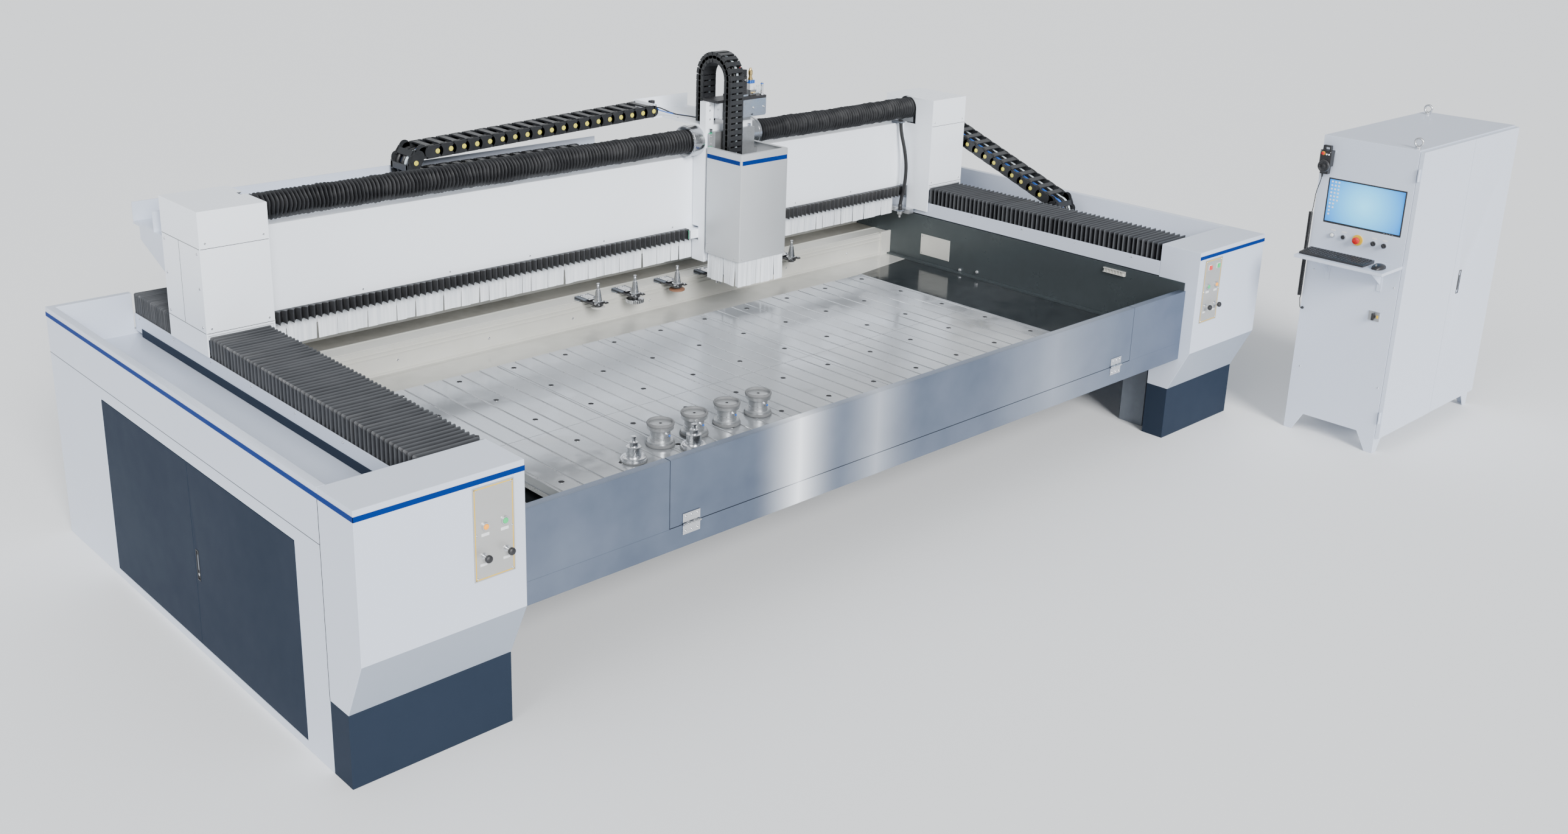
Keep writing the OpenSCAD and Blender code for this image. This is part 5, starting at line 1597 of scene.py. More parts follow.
def link_units(name, along, pitch, width, thick, ladder=False):
    """A chain link and its pivot discs, drawn along X or Y about the datum."""
    cross = "y" if along == "x" else "x"
    half, r, w = pitch / 2, thick / 2, width / 2
    link, discs = Maker(name), Maker(name + "_disc")

    def bar(look, a0, a1, c0, c1, z0, z1):
        if along == "x":
            link.box(look, a0, a1, c0, c1, z0, z1)
        else:
            link.box(look, c0, c1, a0, a1, z0, z1)

    for side in (-1, 1):
        outer = sorted((side * w, side * (w - 5)))
        inner = sorted((side * (w - 5), side * (w - 10)))
        if ladder:
            link.prism("chain nylon", cross, stadium(-half * 0.42, half * 0.42, half * 0.52), *outer)
            bar("chain nylon", -half * 0.97, half * 0.97, *sorted((side * w, side * (w - 9))), -r, r)
        else:
            link.prism("chain nylon", cross, stadium(0, half, r * 0.97), *outer)
            link.prism("chain nylon", cross, stadium(-half, 0, r * 0.90), *inner)
            spot = {"x": (half, side * w, 0), "y": (side * w, half, 0)}[along]
            sign = "-" if side < 0 else ""
            discs.lathe("disc yellow", spot, sign + cross,
                        [(-1, 13), (1.0, 13), (1.6, 11), (1.6, 4), (0.6, 3)], 18)
    for side in (-1, 1):
        z = sorted((side * r, side * (r - (5 if ladder else 8))))
        if ladder:
            bar("chain nylon", -half * 0.74, half * 0.74, -w + 9, w - 9, *z)
        else:
            bar("chain nylon", -17, 17, -w + 8, w - 8, *z)
            bar("chain nylon", -24, 24, -w + 5, -w + 22, *z)
            bar("chain nylon", -24, 24, w - 22, w - 5, *z)
    if ladder:
        discs.bm.free()
        return [(unit_mesh(link), "chain nylon")]
    return [(unit_mesh(link), "chain nylon"), (unit_mesh(discs), "disc yellow")]


def chain(name, units, path, count, body, replaces, along):
    for unit, look in units:
        row(f"{name}_{look.split()[1]}", path, unit, count, look, body, "chain_plastic", replaces,
            axis=along.upper(), pivot="Y" if along == "x" else "X")


def lines_inside(name, body, runs, replaces=()):
    """The hoses and leads that lie in a chain: (finish, radius, points)."""
    maker = Maker(name)
    for look, radius, points in runs:
        maker.sweep(look, points, radius, 8)
    maker.done(body, replaces, smooth=60)


def arc(centre, radius, start, end, steps, plane, offset=0.0):
    """Points of an arc; plane is xz or yz, offset is the third coordinate."""
    points = []
    for k in range(steps + 1):
        a = math.radians(start + (end - start) * k / steps)
        u, v = centre[0] + radius * math.cos(a), centre[1] + radius * math.sin(a)
        points.append((u, offset, v) if plane == "xz" else (offset, u, v))
    return points


class ROUTER_OT_bridge_chain(bpy.types.Operator):
    """Makes the energy chain behind the beam: its upper run, its loop and its lower run"""

    bl_idname = "router.bridge_chain"
    bl_label = "Bridge chain"

    def execute(self, context):
        y0, y1 = span("x_chain_run")[2:4]
        y, wide = (y0 + y1) / 2, y1 - y0
        loop_x, end_x, low, top, end = 1845, 3389, 1585, 1727, 1787
        pitch = sizes().link / MM
        count = round((end_x - loop_x) / pitch)
        step = (end_x - loop_x) / count
        rise = (end - top) / (end_x - loop_x)
        run = ("carriage", "x_loop", at(end_x, y, end), at(loop_x, y, top))
        straight = link_units("bridge_link", "x", step, wide, 70)
        first, last = loop_x + step / 2, end_x - step / 2
        chain("bridge_chain_run", straight, [(first, y, top + rise * step / 2),
                                             (last, y, end - rise * step / 2)], count, run, "x_chain_run",
              "x")
        fixed = 2950
        low_count = round((fixed - loop_x) / step)
        chain("bridge_chain_low", straight, [(loop_x + step / 2, y, low), (fixed - step / 2, y, low)],
              low_count, "gantry", (), "x")
        drop(*(unit for unit, _ in straight))
        bent = link_units("bridge_loop_link", "x", 71, wide, 70)
        centre = (loop_x, (low + top) / 2)
        chain("bridge_chain_loop", bent, arc(centre, 64, 120, 240, 24, "xz", y), 3, "x_loop", "x_chain_loop",
              "x")
        drop(*(unit for unit, _ in bent))
        looks = (("hose blue", 9, -52), ("hose clear", 10, -26), ("lead jacket", 12, 4), ("hose blue", 7, 30),
                 ("lead jacket", 11, 56))
        lines_inside("bridge_chain_lines", run, [
            (look, r, [(loop_x + (end_x - loop_x) * k / 20, y + dy, top + (end - top) * k / 20 - 4)
                       for k in range(21)]) for look, r, dy in looks])
        lines_inside("bridge_chain_loop_lines", "x_loop", [
            (look, r, arc(centre, 71 - (-4 if r > 9 else 6), 90, 270, 16, "xz", y + dy)) for look, r,
            dy in looks])
        end_plate = Maker("bridge_chain_ends")
        end_plate.box("zinc", fixed, fixed + 60, y0 + 14, y1 - 14, 1550, 1553)
        for dy in (-50, 50):
            end_plate.screw(fixed + 38, y + dy, 1553, "z", 5)
        end_plate.done("gantry")
        return {"FINISHED"}


class ROUTER_OT_side_chain(bpy.types.Operator):
    """Makes the energy chain in the right housing's trough"""

    bl_idname = "router.side_chain"
    bl_label = "Side chain"

    def execute(self, context):
        x0, x1 = span("y_chain_run")[:2]
        x, wide = (x0 + x1) / 2, x1 - x0
        loop_y, cz, r, tilt, length = 1332, 1078, 85, math.radians(20.2), 1062
        low_end = (loop_y - r * math.sin(tilt), cz + r * math.cos(tilt))
        pitch = sizes().link / MM
        count = round(length / pitch)
        step = length / count

        def up(d):
            return (x, low_end[0] + d * math.cos(tilt), low_end[1] + d * math.sin(tilt))

        run = ("gantry", "y_loop", at(*up(length)), at(*up(0)))
        straight = link_units("side_link", "y", step, wide, 70)
        chain("side_chain_run", straight, [up(step / 2), up(length - step / 2)], count, run, "y_chain_run",
              "y")
        fixed = 1700
        low_count = round((fixed - loop_y) / step)
        chain("side_chain_low", straight, [(x, loop_y + step / 2, cz - r), (x, fixed - step / 2, cz - r)],
              low_count, ROOT, (), "y")
        drop(*(unit for unit, _ in straight))
        bent = link_units("side_loop_link", "y", 74, wide, 70)
        start, end = 90 + 20.2, 270
        part = (end - start) / 3
        chain("side_chain_loop", bent, arc((loop_y, cz), 77, start + part / 2, end - part / 2, 24, "yz", x),
              3, "y_loop", "y_chain_loop", "y")
        drop(*(unit for unit, _ in bent))
        looks = (("lead jacket", 12, -56), ("lead jacket", 10, -28), ("hose blue", 8, 0),
                 ("lead jacket", 13, 30), ("hose clear", 9, 58))
        lines_inside("side_chain_lines", run, [
            (look, radius, [(up(length * k / 16)[0] + dx, up(length * k / 16)[1], up(length * k / 16)[2] - 3)
                            for k in range(17)]) for look, radius, dx in looks])
        lines_inside("side_chain_loop_lines", "y_loop", [
            (look, radius, arc((loop_y, cz), r, start, end, 16, "yz", x + dx)) for look, radius, dx in looks])
        return {"FINISHED"}


class ROUTER_OT_head_chain(bpy.types.Operator):
    """Makes the ladder-like energy chain over the head"""

    bl_idname = "router.head_chain"
    bl_label = "Head chain"

    def execute(self, context):
        x0, x1 = span("z_chain")[:2]
        x, wide = (x0 + x1) / 2, x1 - x0
        back, front, mid, cz, r = 2270, 2032, 2151, 2021, 119
        path = [(x, back, 1772), (x, back, 1900)] + arc((mid, cz), r, 0, 180, 40, "yz", x) + [
            (x, front, 1800), (x, front, 1557)]
        length = run_length([Vector(p) for p in path])
        count = round(length / (sizes().head_link / MM)) + 1
        units = link_units("head_link", "y", length / (count - 1), wide, 58, ladder=True)
        body = ("carriage", "z_head", at(x, back, cz), at(x, front, cz))
        chain("head_chain", units, path, count, body, "z_chain", "y")
        drop(*(unit for unit, _ in units))
        runs = []
        for look, radius, dx in (("lead jacket", 12, -26), ("lead jacket", 9, 2), ("hose clear", 8, 26)):
            line = [(x + dx, back, 1760), (x + dx, back, 1900)] + arc((mid, cz), r, 0, 180, 24, "yz",
                                                                      x + dx) + [
                                                                          (x + dx, front, 1800),
                                                                          (x + dx, front, 1546)]
            runs.append((look, radius, line))
        lines_inside("head_chain_lines", body, runs)
        return {"FINISHED"}


# ---------------------------------------------------------------- carriage and head
class ROUTER_OT_carriage(bpy.types.Operator):
    """Dresses the carriage and adds its rails, collars, wipers and screws"""

    bl_idname = "router.carriage"
    bl_label = "Carriage"

    def execute(self, context):
        dress("carriage_plate", "beam paint", 1.5)
        x0, x1, face = 3449, 3812, 2139
        bits = Maker("carriage_fittings")
        for x in (x0 + 21, x1 - 41):
            bits.prism("ground steel", "z", [(x - 0.4, face - 12.5), (x + 20.4, face - 12.5),
                                             (x + 20.4, face - 8), (x + 18, face - 5), (x + 20.4, face - 2),
                                             (x + 20.4, face + 0.5), (x - 0.4, face + 0.5),
                                             (x - 0.4, face - 2), (x + 2, face - 5),
                                             (x - 0.4, face - 8)], 960, 1735)
            for z in range(990, 1730, 60):
                bits.lathe("dark gap", (x + 10, face - 12.6, z), "-y", [(0, 4.5), (0.4, 4.5)], 10)
        for start, sign in ((x0 - 84.6, 1), (x1 + 84.6, -1)):
            direction = "x" if sign > 0 else "-x"
            bits.loft("ground steel", (start, 2227, 1660), direction,
                      [(0, 83.4), (0, 88.4), (10, 88.4), (11, 91), (18, 91), (19, 88.4), (84, 88.4),
                       (84, 83.4)], 48)
            for k in range(8):
                a = 2 * math.pi * k / 8 + 0.2
                bits.screw(start, 2227 + 85.5 * math.sin(a), 1660 + 85.5 * math.cos(a),
                           "-x" if sign > 0 else "x", 2.2)
        for start, sign in ((x0 - 61, -1), (x1 + 61, 1)):
            for look, a, b in (("zinc", 0, 10), ("seal green", 10, 15), ("black plastic", 15, 17)):
                low, high = sorted((start + sign * a, start + sign * b))
                bits.box(look, low, high, 2186, 2223, 1090, 1138)
        for x in (x0 + 60, x1 - 60, (x0 + x1) / 2):
            for z in (1010, 1040, 1180, 1300, 1430, 1560, 1700):
                bits.screw(x, face, z, "-y", 6)
        for z in (1790, 1840, 1870):
            bits.screw(x0 + 30, face, z, "-y", 6)
        for y in (2240, 2420, 2600):
            bits.screw(x0 + 30, y, 1755, "z", 6)
            bits.screw(x1 - 30, y, 1755, "z", 6)
        bits.done("carriage", bevel=0.5)
        return {"FINISHED"}


class ROUTER_OT_z_drive(bpy.types.Operator):
    """Makes the head's drive block with its motor, valves and air fittings"""

    bl_idname = "router.z_drive"
    bl_label = "Head drive"

    def execute(self, context):
        x0, y0 = 3511, 2066
        drive = Maker("z_drive_finished")
        drive.prism("ground steel", "y", [(x0, 1796), (x0 + 8, 1790), (x0 + 332, 1790), (x0 + 340, 1798),
                                          (x0 + 340, 1890), (x0, 1890)], y0, y0 + 124)
        drive.box("black plastic", x0 - 40, x0 + 340, y0, y0 + 124, 1890, 1906)
        drive.box("cast block", x0 + 150, x0 + 290, 2141, 2189, 1755, 1790)
        for x in (x0 + 20, x0 + 130, x0 + 240, x0 + 320):
            drive.screw(x, y0, 1840, "-y", 7)
        for x in (x0 + 80, x0 + 230):
            drive.box("dark gap", x - 9, x + 9, y0 - 0.6, y0 + 0.5, 1800, 1806)
        self.motor(drive, x0 + 110, 2084)
        self.valves(drive, x0, y0)
        self.regulator(drive)
        drive.done("carriage", "z_drive", bevel=1)
        return {"FINISHED"}

    def motor(self, drive, x, y):
        drive.box("ground steel", x - 2, x + 102, y - 2, y + 102, 1906, 1918)
        drive.prism("black plastic", "z", [(x + 10, y), (x + 90, y), (x + 100, y + 10), (x + 100, y + 90),
                                           (x + 90, y + 100), (x + 10, y + 100), (x, y + 90), (x, y + 10)],
                    1918, 2020)
        drive.box("lead jacket", x + 6, x + 94, y + 6, y + 94, 2020, 2060)
        for z in range(1930, 2015, 12):
            drive.box("dark gap", x - 0.5, x + 100.5, y + 16, y + 84, z, z + 3)
            drive.box("dark gap", x + 16, x + 84, y - 0.5, y + 100.5, z, z + 3)
        drive.lathe("signal red", (x + 50, y + 50, 2060), "z", [(0, 30), (10, 30), (14, 26), (15, 14)], 32)
        drive.lathe("zinc", (x + 78, y - 1, 2000), "-y", [(0, 9), (4, 9), (6, 7), (16, 7)], 16)

    def regulator(self, drive):
        """The air regulator and its filter bowl on the deck, with their hoses."""
        x, y, z = 3427, 2590, 1755
        drive.box("zinc", x - 19, x + 19, y + 16, y + 19, z, 1838)
        drive.lathe("black plastic", (x, y, z), "z", [(0, 11), (3, 15), (30, 15), (33, 13), (35, 15)], 24)
        drive.box("cast block", x - 18, x + 18, y - 18, y + 18, 1790, 1815)
        drive.lathe("hose blue", (x, y, 1815), "z", [(0, 13), (6, 13), (7, 11)], 24)
        drive.lathe("black plastic", (x, y, 1822), "z", [(0, 11), (2, 14), (15, 14), (18, 11)], 20)
        drive.lathe("white plastic", (x, y - 18, 1803), "-y", [(0, 11), (7, 11), (8, 9)], 24)
        for dx, look in ((-9, "hose blue"), (9, "lead jacket")):
            drive.sweep(look, [(x + dx, y - 24, 1800), (x + dx, y - 52, 1803), (x + dx * 2, y - 84, 1796),
                               (x + 30 + dx, y - 112, 1782), (x + 60, y - 150 - dx, 1772),
                               (x + 88, y - 210 - dx, 1770), (x + 96, y - 300 - dx, 1772)], 4, 8)

    def valves(self, drive, x0, y0):
        drive.box("cast block", x0 + 245, x0 + 290, y0 + 33, y0 + 93, 1906, 1936)
        for k in range(3):
            x = x0 + 247 + 14 * k
            drive.box("white plastic", x, x + 13, y0 + 40, y0 + 88, 1936, 1972)
            drive.box("hose blue", x + 1, x + 12, y0 + 44, y0 + 84, 1972, 1990)
            drive.lathe("brass", (x + 6.5, y0 + 33, 1920), "-y", [(0, 5), (9, 5), (10, 4), (14, 4)], 12)
            drive.sweep("hose clear", [(x + 6.5, y0 + 20, 1920), (x + 6.5, y0 + 6, 1921),
                                       (x + 8, y0 - 4, 1930), (x + 10, y0 - 8, 1944), (x + 14, y0 - 6, 1958),
                                       (x + 20, y0 + 6, 1966)], 3, 8)
        drive.lathe("brass", (x0 + 268, y0 + 63, 1990), "z",
                    [(0, 14), (12, 14), (14, 10), (30, 10), (32, 13), (52, 13), (56, 9), (70, 6)], 20)
        drive.lathe("zinc", (x0 + 315, y0 + 13, 1906), "z",
                    [(0, 12), (8, 12), (9, 8), (62, 8), (64, 5), (74, 5)], 12)
        drive.lathe("hose blue", (x0 + 315, y0 + 13, 1968), "z", [(0, 9), (6, 9)], 16)


class ROUTER_OT_head(bpy.types.Operator):
    """Makes the head: its slide, its stainless guard and the skirt of strips under it"""

    bl_idname = "router.head"
    bl_label = "Head"

    def execute(self, context):
        dress("z_slide", "cast block", 1)
        dress("spindle_rotor", "ground steel", 1)
        self.guard()
        self.seals()
        self.skirt()
        return {"FINISHED"}

    def guard(self):
        x0, x1, y0, y1, z0, z1 = span("z_box")
        guard = Maker("z_box_finished")
        ring = [(x0, y1), (x0, y0 + 9), (x0 + 3, y0 + 3), (x0 + 9, y0), (x1 - 9, y0), (x1 - 3, y0 + 3),
                (x1, y0 + 9), (x1, y1), (x1 - 3, y1), (x1 - 3, y0 + 10), (x1 - 10, y0 + 3), (x0 + 10, y0 + 3),
                (x0 + 3, y0 + 10), (x0 + 3, y1)]
        guard.prism("head steel", "z", ring, z0, z1)
        for z in (z0, z1 - 3):
            guard.box("head steel", x0 + 3, x1 - 3, y0 + 3, y0 + 22, z, z + 3)
            guard.box("head steel", x0 + 3, x0 + 22, y0 + 22, y1, z, z + 3)
            guard.box("head steel", x1 - 22, x1 - 3, y0 + 22, y1, z, z + 3)
        low = z1 - 62
        high = low + 1.2 * sizes().stripe / MM
        guard.box("stripe paint", x0 - 0.4, x0 + 1, y0 + 10, y1 - 1, low, high)
        guard.box("stripe paint", x1 - 1, x1 + 0.4, y0 + 10, y1 - 1, low, high)
        guard.box("stripe paint", x0 + 10, x1 - 10, y0 - 0.4, y0 + 1, low, high)
        for x in (x0 + 24, (x0 + x1) / 2, x1 - 24):
            guard.screw(x, y0, z0 + 14, "-y", 3.6)
        for y in (y0 + 40, (y0 + y1) / 2, y1 - 30):
            guard.screw(x0, y, z0 + 14, "-x", 3.6)
            guard.screw(x1, y, z0 + 14, "x", 3.6)
        for z in (z0 + 60, (z0 + z1) / 2, z1 - 90):
            guard.screw(x0, y1 - 14, z, "-x", 4)
            guard.screw(x1, y1 - 14, z, "x", 4)
        guard.done("z_head", "z_box", bevel=0.8)

    def seals(self):
        seals = Maker("guide_seals")
        for x in (3459, 3760):
            for z in (1100, 1400, 1640):
                for low in (z - 5, z + 70):
                    seals.box("seal green", x + 0.5, x + 41.5, 2113.5, 2125.5, low, low + 5)
                for dx in (8, 34):
                    for dz in (14, 56):
                        seals.screw(x + dx, 2112.2, z + dz, "-y", 3.5)
        seals.ring("black plastic", (3628.5, 1973, 982), "z", 5, 46, 69, 40)
        for k in range(6):
            a = 2 * math.pi * k / 6
            seals.screw(3628.5 + 57 * math.cos(a), 1973 + 57 * math.sin(a), 982, "-z", 5)
        seals.done("z_head")
        keys = Maker("spindle_keys")
        for side in (-1, 1):
            keys.box("ground steel", 3628.5 - 7, 3628.5 + 7, 1973 + side * 34 - 8, 1973 + side * 34 + 8, 934,
                     941)
        keys.done("spindle", bevel=0.5)

    def skirt(self):
        x0, x1, y0, y1, z0, z1 = span("brush_skirt")
        wide = 36
        for name, along, ends, depth in (
            ("front", "x", ((x0, y0 + 3), (x1, y0 + 3)), 1), ("back", "x", ((x0, y1 - 3), (x1, y1 - 3)), 2),
            ("left", "y", ((x0 + 3, y0), (x0 + 3, y1)), 3), ("right", "y", ((x1 - 3, y0), (x1 - 3, y1)), 4)):
            (ax, ay), (bx, by) = ends
            run = (bx - ax) + (by - ay)
            count = round(run / wide)
            half = run / count / 2
            strip = Maker("skirt_strip")
            outline = [(-half + 0.5, -0.7), (0, -1.3), (half - 0.5, -0.4), (half - 0.5, 1.0), (0, 0.4),
                       (-half + 0.5, 0.9)]
            if along == "y":
                outline = [(b, a) for a, b in outline]
            strip.prism("strip vinyl", "z", outline, z0 - z1 + 3, 0)
            unit = unit_mesh(strip)
            if along == "x":
                path = [(ax + half, ay, z1), (bx - half, by, z1)]
            else:
                path = [(ax, ay + half, z1), (bx, by - half, z1)]
            row(f"brush_skirt_{name}", path, unit, count, "strip vinyl", "z_head", "brush_hair",
                "brush_skirt", axis=along.upper(), pivot="Z", wobble=0.035, seed=10 + depth)
            drop(unit)


# ---------------------------------------------------------------- control cabinet
class ROUTER_OT_cabinet(bpy.types.Operator):
    """Dresses the control cabinet and makes its screen, keyboard, mouse and controls"""

    bl_idname = "router.cabinet"
    bl_label = "Control cabinet"

    def execute(self, context):
        dress("cabinet_shell", "shell paint", 2)
        dress("cabinet_door_front", "shell paint", 2)
        dress("cabinet_door_rear", "shell paint", 2)
        dress("keyboard_shelf", "shell paint", 2)
        dress("cabinet_fittings", "zinc", 0.8)
        for node in ("selector_one", "selector_two", "isolator_handle"):
            dress(node, "black plastic", 1)
        self.screen()
        self.keyboard()
        self.controls()
        self.handle()
        return {"FINISHED"}

    def handle(self):
        x = 6820
        pull = Maker("cabinet_handle")
        for a, b, c, d in ((x - 16, x + 16, 838, 842), (x - 16, x + 16, 978, 982), (x - 16, x - 13, 842, 978),
                           (x + 13, x + 16, 842, 978)):
            pull.box("black plastic", a, b, -832, -829.5, c, d)
        pull.box("black plastic", x - 7, x + 7, -829.5, -824, 860, 950)
        pull.lathe("zinc", (x, -828, 964), "-y", [(0, 7), (2, 7), (2.5, 5)], 18)
        pull.done("cabinet_rear_door", bevel=0.5)

    def screen(self):
        x0, x1, y0, y1, z0, z1 = span("monitor")
        screen = Maker("monitor_finished")
        edge = 6
        screen.box("black plastic", x0 + 4, x1, y0, y1, z0, z1)
        for a, b, c, d in ((y0, y1, z0, z0 + edge + 4), (y0, y1, z1 - edge, z1),
                           (y0, y0 + edge, z0 + edge + 4, z1 - edge),
                           (y1 - edge, y1, z0 + edge + 4, z1 - edge)):
            screen.box("black plastic", x0 - 2, x0 + 4, a, b, c, d)
        screen.box("screen glow", x0 + 1.5, x0 + 4.5, y0 + edge - 1, y1 - edge + 1, z0 + edge + 3,
                   z1 - edge + 1)
        for k in range(4):
            screen.box("zinc", x0 - 2.6, x0 - 1.8, y0 + 40 + 16 * k, y0 + 48 + 16 * k, z0 + 3, z0 + 5)
        for column in range(3):
            for line in range(10 - column * 2):
                y, z = y1 - 22 - 20 * column, z1 - 20 - 21 * line
                screen.box("lamp lens", x0 + 1.1, x0 + 1.6, y - 5, y + 5, z - 5, z + 5)
        screen.done(ROOT, "monitor", bevel=0.8)

    def keyboard(self):
        x0, y0, z = 5845, -680, 1134
        base = Maker("keyboard_mouse_finished")
        base.prism("black plastic", "y", [(x0, z), (x0 + 140, z), (x0 + 140, z + 18), (x0 + 136, z + 19),
                                          (x0 + 4, z + 13), (x0, z + 10)], y0, y0 + 380)
        rings = []
        for k in range(13):
            t = k / 12
            x = 5850 + 110 * t
            swell = math.sqrt(max(0.02, 1 - (2 * t - 1) ** 2))
            tall = 28 * swell ** 0.7 * (0.82 + 0.18 * math.sin(math.pi * t))
            half = 31.5 * (0.62 + 0.38 * swell) * (0.55 + 0.45 * swell)
            profile = [(-1, 0), (-1, 0.35), (-0.86, 0.68), (-0.55, 0.92), (0, 1), (0.55, 0.92), (0.86, 0.68),
                       (1, 0.35), (1, 0)]
            rings.append([(x, -743.5 + half * a, z + tall * b) for a, b in profile])
        n = len(rings[0])
        points = [p for ring in rings for p in ring]
        loops = [(k * n + i, k * n + (i + 1) % n, (k + 1) * n + (i + 1) % n, (k + 1) * n + i)
                 for k in range(12) for i in range(n)] + [tuple(range(n)),
                                                          tuple(12 * n + i for i in range(n))]
        base.faces("black plastic", points, loops)
        base.lathe("grey rubber", (5868, -743.5, 1158), "y", [(-3, 7), (3, 7)], 16)
        base.done(ROOT, "keyboard_mouse", bevel=0.6, smooth=45)
        cap = Maker("key_cap")
        cap.faces("black plastic", [(-8.6, -8.6, 0), (8.6, -8.6, 0), (8.6, 8.6, 0), (-8.6, 8.6, 0),
                                    (-6.4, -6.4, 6), (6.4, -6.4, 6), (6.4, 6.4, 6), (-6.4, 6.4, 6)],
                  [(3, 2, 1, 0), (4, 5, 6, 7), (0, 1, 5, 4), (1, 2, 6, 5), (2, 3, 7, 6), (3, 0, 4, 7)])
        unit = unit_mesh(cap)
        for number in range(6):
            x = x0 + 17 + number * 21.2
            rise = z + 10.5 + number * 1.1
            row(f"keys_{number}", [(x, y0 + 16, rise), (x, y0 + 364, rise)], unit, 19, "black plastic", ROOT,
                "black_plastic", axis="Y", pivot="Z")
        drop(unit)

    def controls(self):
        face, z = 6060, 1226
        bits = Maker("cabinet_controls")
        bits.ring("signal yellow", (face, -532, z), "-x", 7, 14, 30.6, 40)
        bits.lathe("lamp lens", (face - 6, -382, z), "-x", [(0, 11), (6, 11), (8, 9), (9, 5)], 28)
        bits.box("cast block", face - 5.2, face - 3.6, -724, -662, 786, 838)
        bits.box("signal yellow", face - 5.8, face - 4, -720, -708, 803, 821)
        for y in (-382, -447, -626, -688):
            bits.box("white plastic", face - 0.8, face + 0.2, y - 14, y + 14, z + 24, z + 33)
        bits.lathe("black plastic", (face - 9, -268, 760), "-x", [(0, 8.4), (6, 8.4), (7, 6), (13, 5)], 12)
        for y in (-780, -300):
            for zz in (400, 1000):
                bits.screw(face, y, zz, "-x", 5)
        bits.done(ROOT, bevel=0.4)
        stop = Maker("estop_button_finished")
        stop.lathe("signal red", (face - 7.5, -532, z), "-x",
                   [(0, 12), (10.5, 12), (11.5, 17), (13, 20), (22, 20), (26, 18), (28.5, 12), (29, 4)], 36)
        stop.done("estop_button_body", "estop_button", smooth=40)
        button = Maker("cabinet_button_finished")
        button.lathe("black plastic", (face - 6, -447, z), "-x",
                     [(0, 11), (6, 11), (7.5, 10), (8, 7), (7.6, 3)], 32)
        button.done("cabinet_button_body", "cabinet_button")


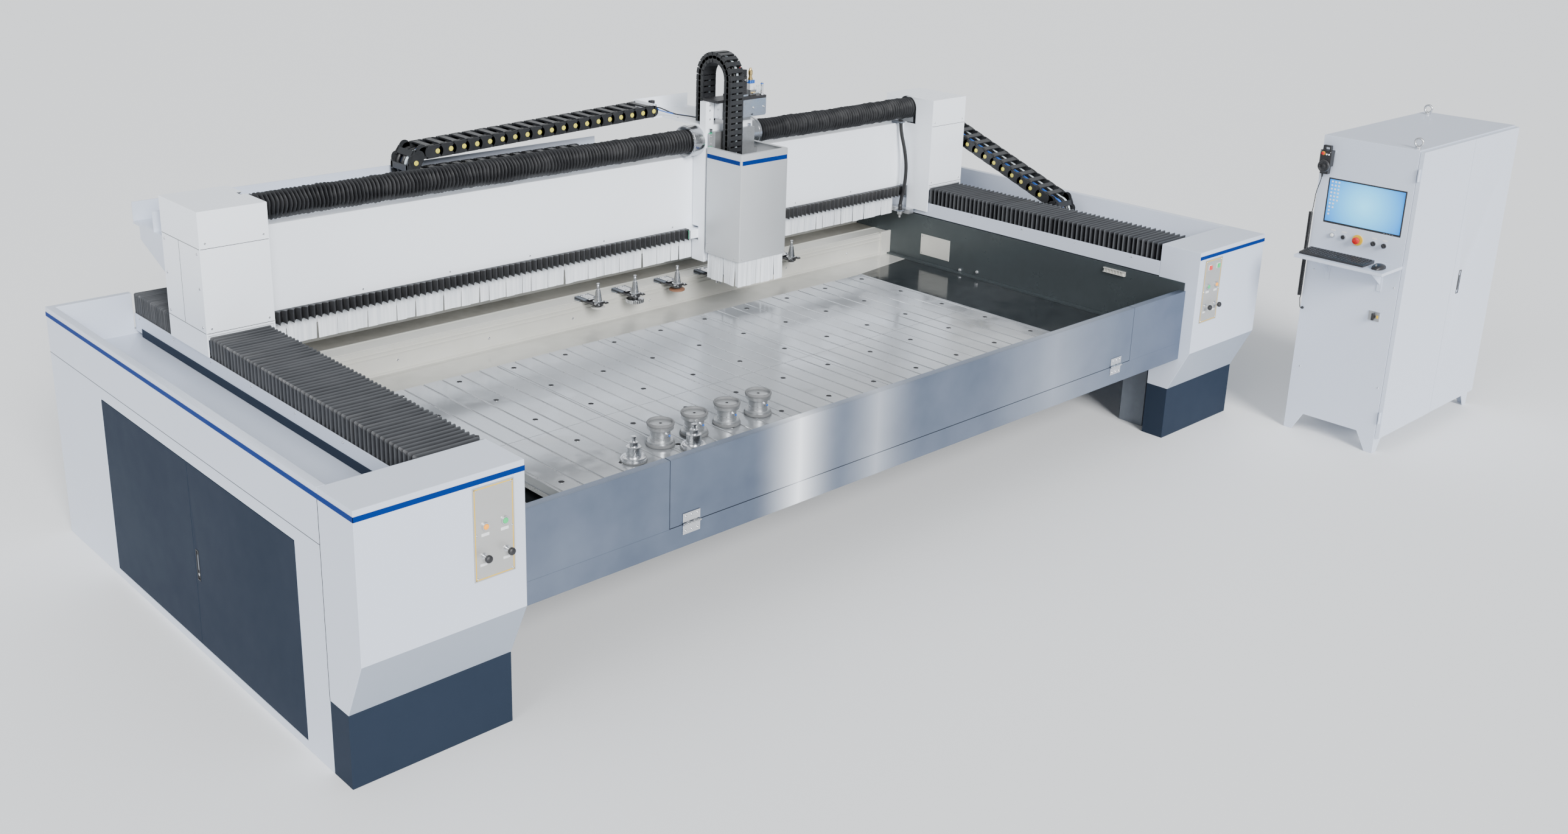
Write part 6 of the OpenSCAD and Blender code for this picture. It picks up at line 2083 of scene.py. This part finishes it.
class ROUTER_OT_pendant(bpy.types.Operator):
    """Makes the hand pendant, its handwheel and its curly lead"""

    bl_idname = "router.pendant"
    bl_label = "Pendant"

    def execute(self, context):
        dress("pendant", "black plastic", 3.5)
        face, y, z = 6010, -296, 1622
        extra = Maker("pendant_fittings")
        extra.lathe("signal red", (face, -282, 1694), "-x", [(0, 6), (3, 6), (4, 9), (9, 9), (11, 6)], 24)
        extra.ring("signal yellow", (face, -282, 1694), "-x", 1.2, 6, 11, 24)
        for dy, dz in ((-316, 1690), (-302, 1690)):
            extra.lathe("white plastic", (face, dy, dz), "-x", [(0, 5), (4, 5), (5, 3)], 16)
        extra.ring("zinc", (face + 0.4, y, z), "-x", 1.6, 18, 33, 40)
        for dy in (-324, -268):
            for dz in (1628, 1704):
                extra.screw(face, dy, dz, "-x", 2.6)
        extra.lathe("lead jacket", (6027, -284, 1577), "-z", [(0, 8), (4, 8), (6, 6), (22, 4)], 16)
        extra.done(ROOT, bevel=0.4)
        wheel = Maker("handwheel_finished")
        wheel.lathe("black plastic", (face - 2, y, z), "-x",
                    [(0, 31), (1, 34), (9, 34), (12, 32), (13, 27), (11, 24), (10, 12), (12, 9), (13, 5)], 48)
        for k in range(30):
            a = 2 * math.pi * k / 30
            wheel.lathe("grey rubber", (face - 4, y + 33.6 * math.cos(a), z + 33.6 * math.sin(a)), "-x",
                        [(0, 1.6), (6, 1.6)], 6)
        wheel.lathe("black plastic", (face - 12, y + 20, z), "-x",
                    [(0, 4), (3, 4), (4, 6), (8, 5.5), (9.5, 3)], 20)
        wheel.done("handwheel_body", "handwheel", smooth=40)
        self.lead()
        return {"FINISHED"}

    def lead(self):
        low = [(6045, -268, 760), (6037, -268, 760), (6029, -267, 763), (6023, -266, 769), (6020, -265, 778),
               (6020, -263, 788), (6022, -260, 798), (6026, -256, 808), (6031, -252.5, 817)]
        high = [(6034.6, -253.5, 1365), (6034.5, -255, 1385), (6034.2, -256.3, 1405), (6033.8, -257.5, 1425),
                (6033, -259, 1445), (6031.5, -263, 1468), (6029.5, -268.5, 1490), (6028, -274, 1510),
                (6027, -279, 1530), (6027, -282, 1550), (6027, -284, 1563), (6027, -284, 1575)]
        cx, cy, r, z0, z1 = 6044, -240, 9.4, 831, 1337
        pitch = sizes().coil_turn / MM
        start, end = math.radians(276.3), math.radians(182.4)
        turns = round((z1 - z0) / pitch) + (end - start) / (2 * math.pi)
        steps = int(turns * 16)
        coil = []
        for k in range(steps + 1):
            a = start + 2 * math.pi * turns * k / steps
            coil.append((cx + r * math.cos(a), cy + r * math.sin(a), z0 + (z1 - z0) * k / steps))
        ex, ey, ez = coil[-1]
        bend = [(ex, ey - 12 * math.sin(t), ez + 12 * (1 - math.cos(t))) for t in (0.35, 0.7, 1.05, 1.35)]
        entry = [(6038, -251, 823.5), (6042, -250, 828.5)]
        path = [Vector(p) for p in eased(low + entry,
                                         2)[:-1]] + [Vector(entry[-1])] + [Vector(p) for p in coil]
        path += eased([bend[0], bend[1], bend[2], bend[3]] + high, 2)
        cord = Maker("pendant_cord")
        cord.sweep("lead jacket", path, 2.5, 8)
        piece = cord.done(ROOT, ("pendant_lead", "pendant_coil"), smooth=80)


# ---------------------------------------------------------------- add-on
OPERATORS = (
    ROUTER_OT_stage, ROUTER_OT_setter, ROUTER_OT_pendant, ROUTER_OT_housings, ROUTER_OT_doors,
    ROUTER_OT_front_panels, ROUTER_OT_bed, ROUTER_OT_basin, ROUTER_OT_fascia, ROUTER_OT_table,
    ROUTER_OT_tooling, ROUTER_OT_way_covers, ROUTER_OT_bridge, ROUTER_OT_beam_bellows, ROUTER_OT_curtain,
    ROUTER_OT_bridge_chain, ROUTER_OT_side_chain, ROUTER_OT_head_chain, ROUTER_OT_carriage, ROUTER_OT_z_drive,
    ROUTER_OT_head, ROUTER_OT_cabinet)


class ROUTER_PT_panel(bpy.types.Panel):
    """Lists the operators and the sizes and colours in the sidebar."""

    bl_idname = "ROUTER_PT_panel"
    bl_label = "CNC router"
    bl_space_type = "VIEW_3D"
    bl_region_type = "UI"
    bl_category = "Router"

    def draw(self, context):
        layout = self.layout
        for group in (sizes(), colours()):
            for key in group.__annotations__:
                layout.prop(group, key)
        for operator in OPERATORS:
            layout.operator(operator.bl_idname)


CLASSES = (RouterSizes, RouterColours, *OPERATORS, ROUTER_PT_panel)


def register():
    for cls in CLASSES:
        bpy.utils.register_class(cls)
    bpy.types.Scene.router_sizes = bpy.props.PointerProperty(type=RouterSizes)
    bpy.types.Scene.router_colours = bpy.props.PointerProperty(type=RouterColours)


def unregister():
    del bpy.types.Scene.router_colours
    del bpy.types.Scene.router_sizes
    for cls in reversed(CLASSES):
        bpy.utils.unregister_class(cls)


def main():
    register()
    for operator in OPERATORS:
        getattr(bpy.ops.router, operator.bl_idname.split(".")[1])()


if __name__ == "__main__":
    main()
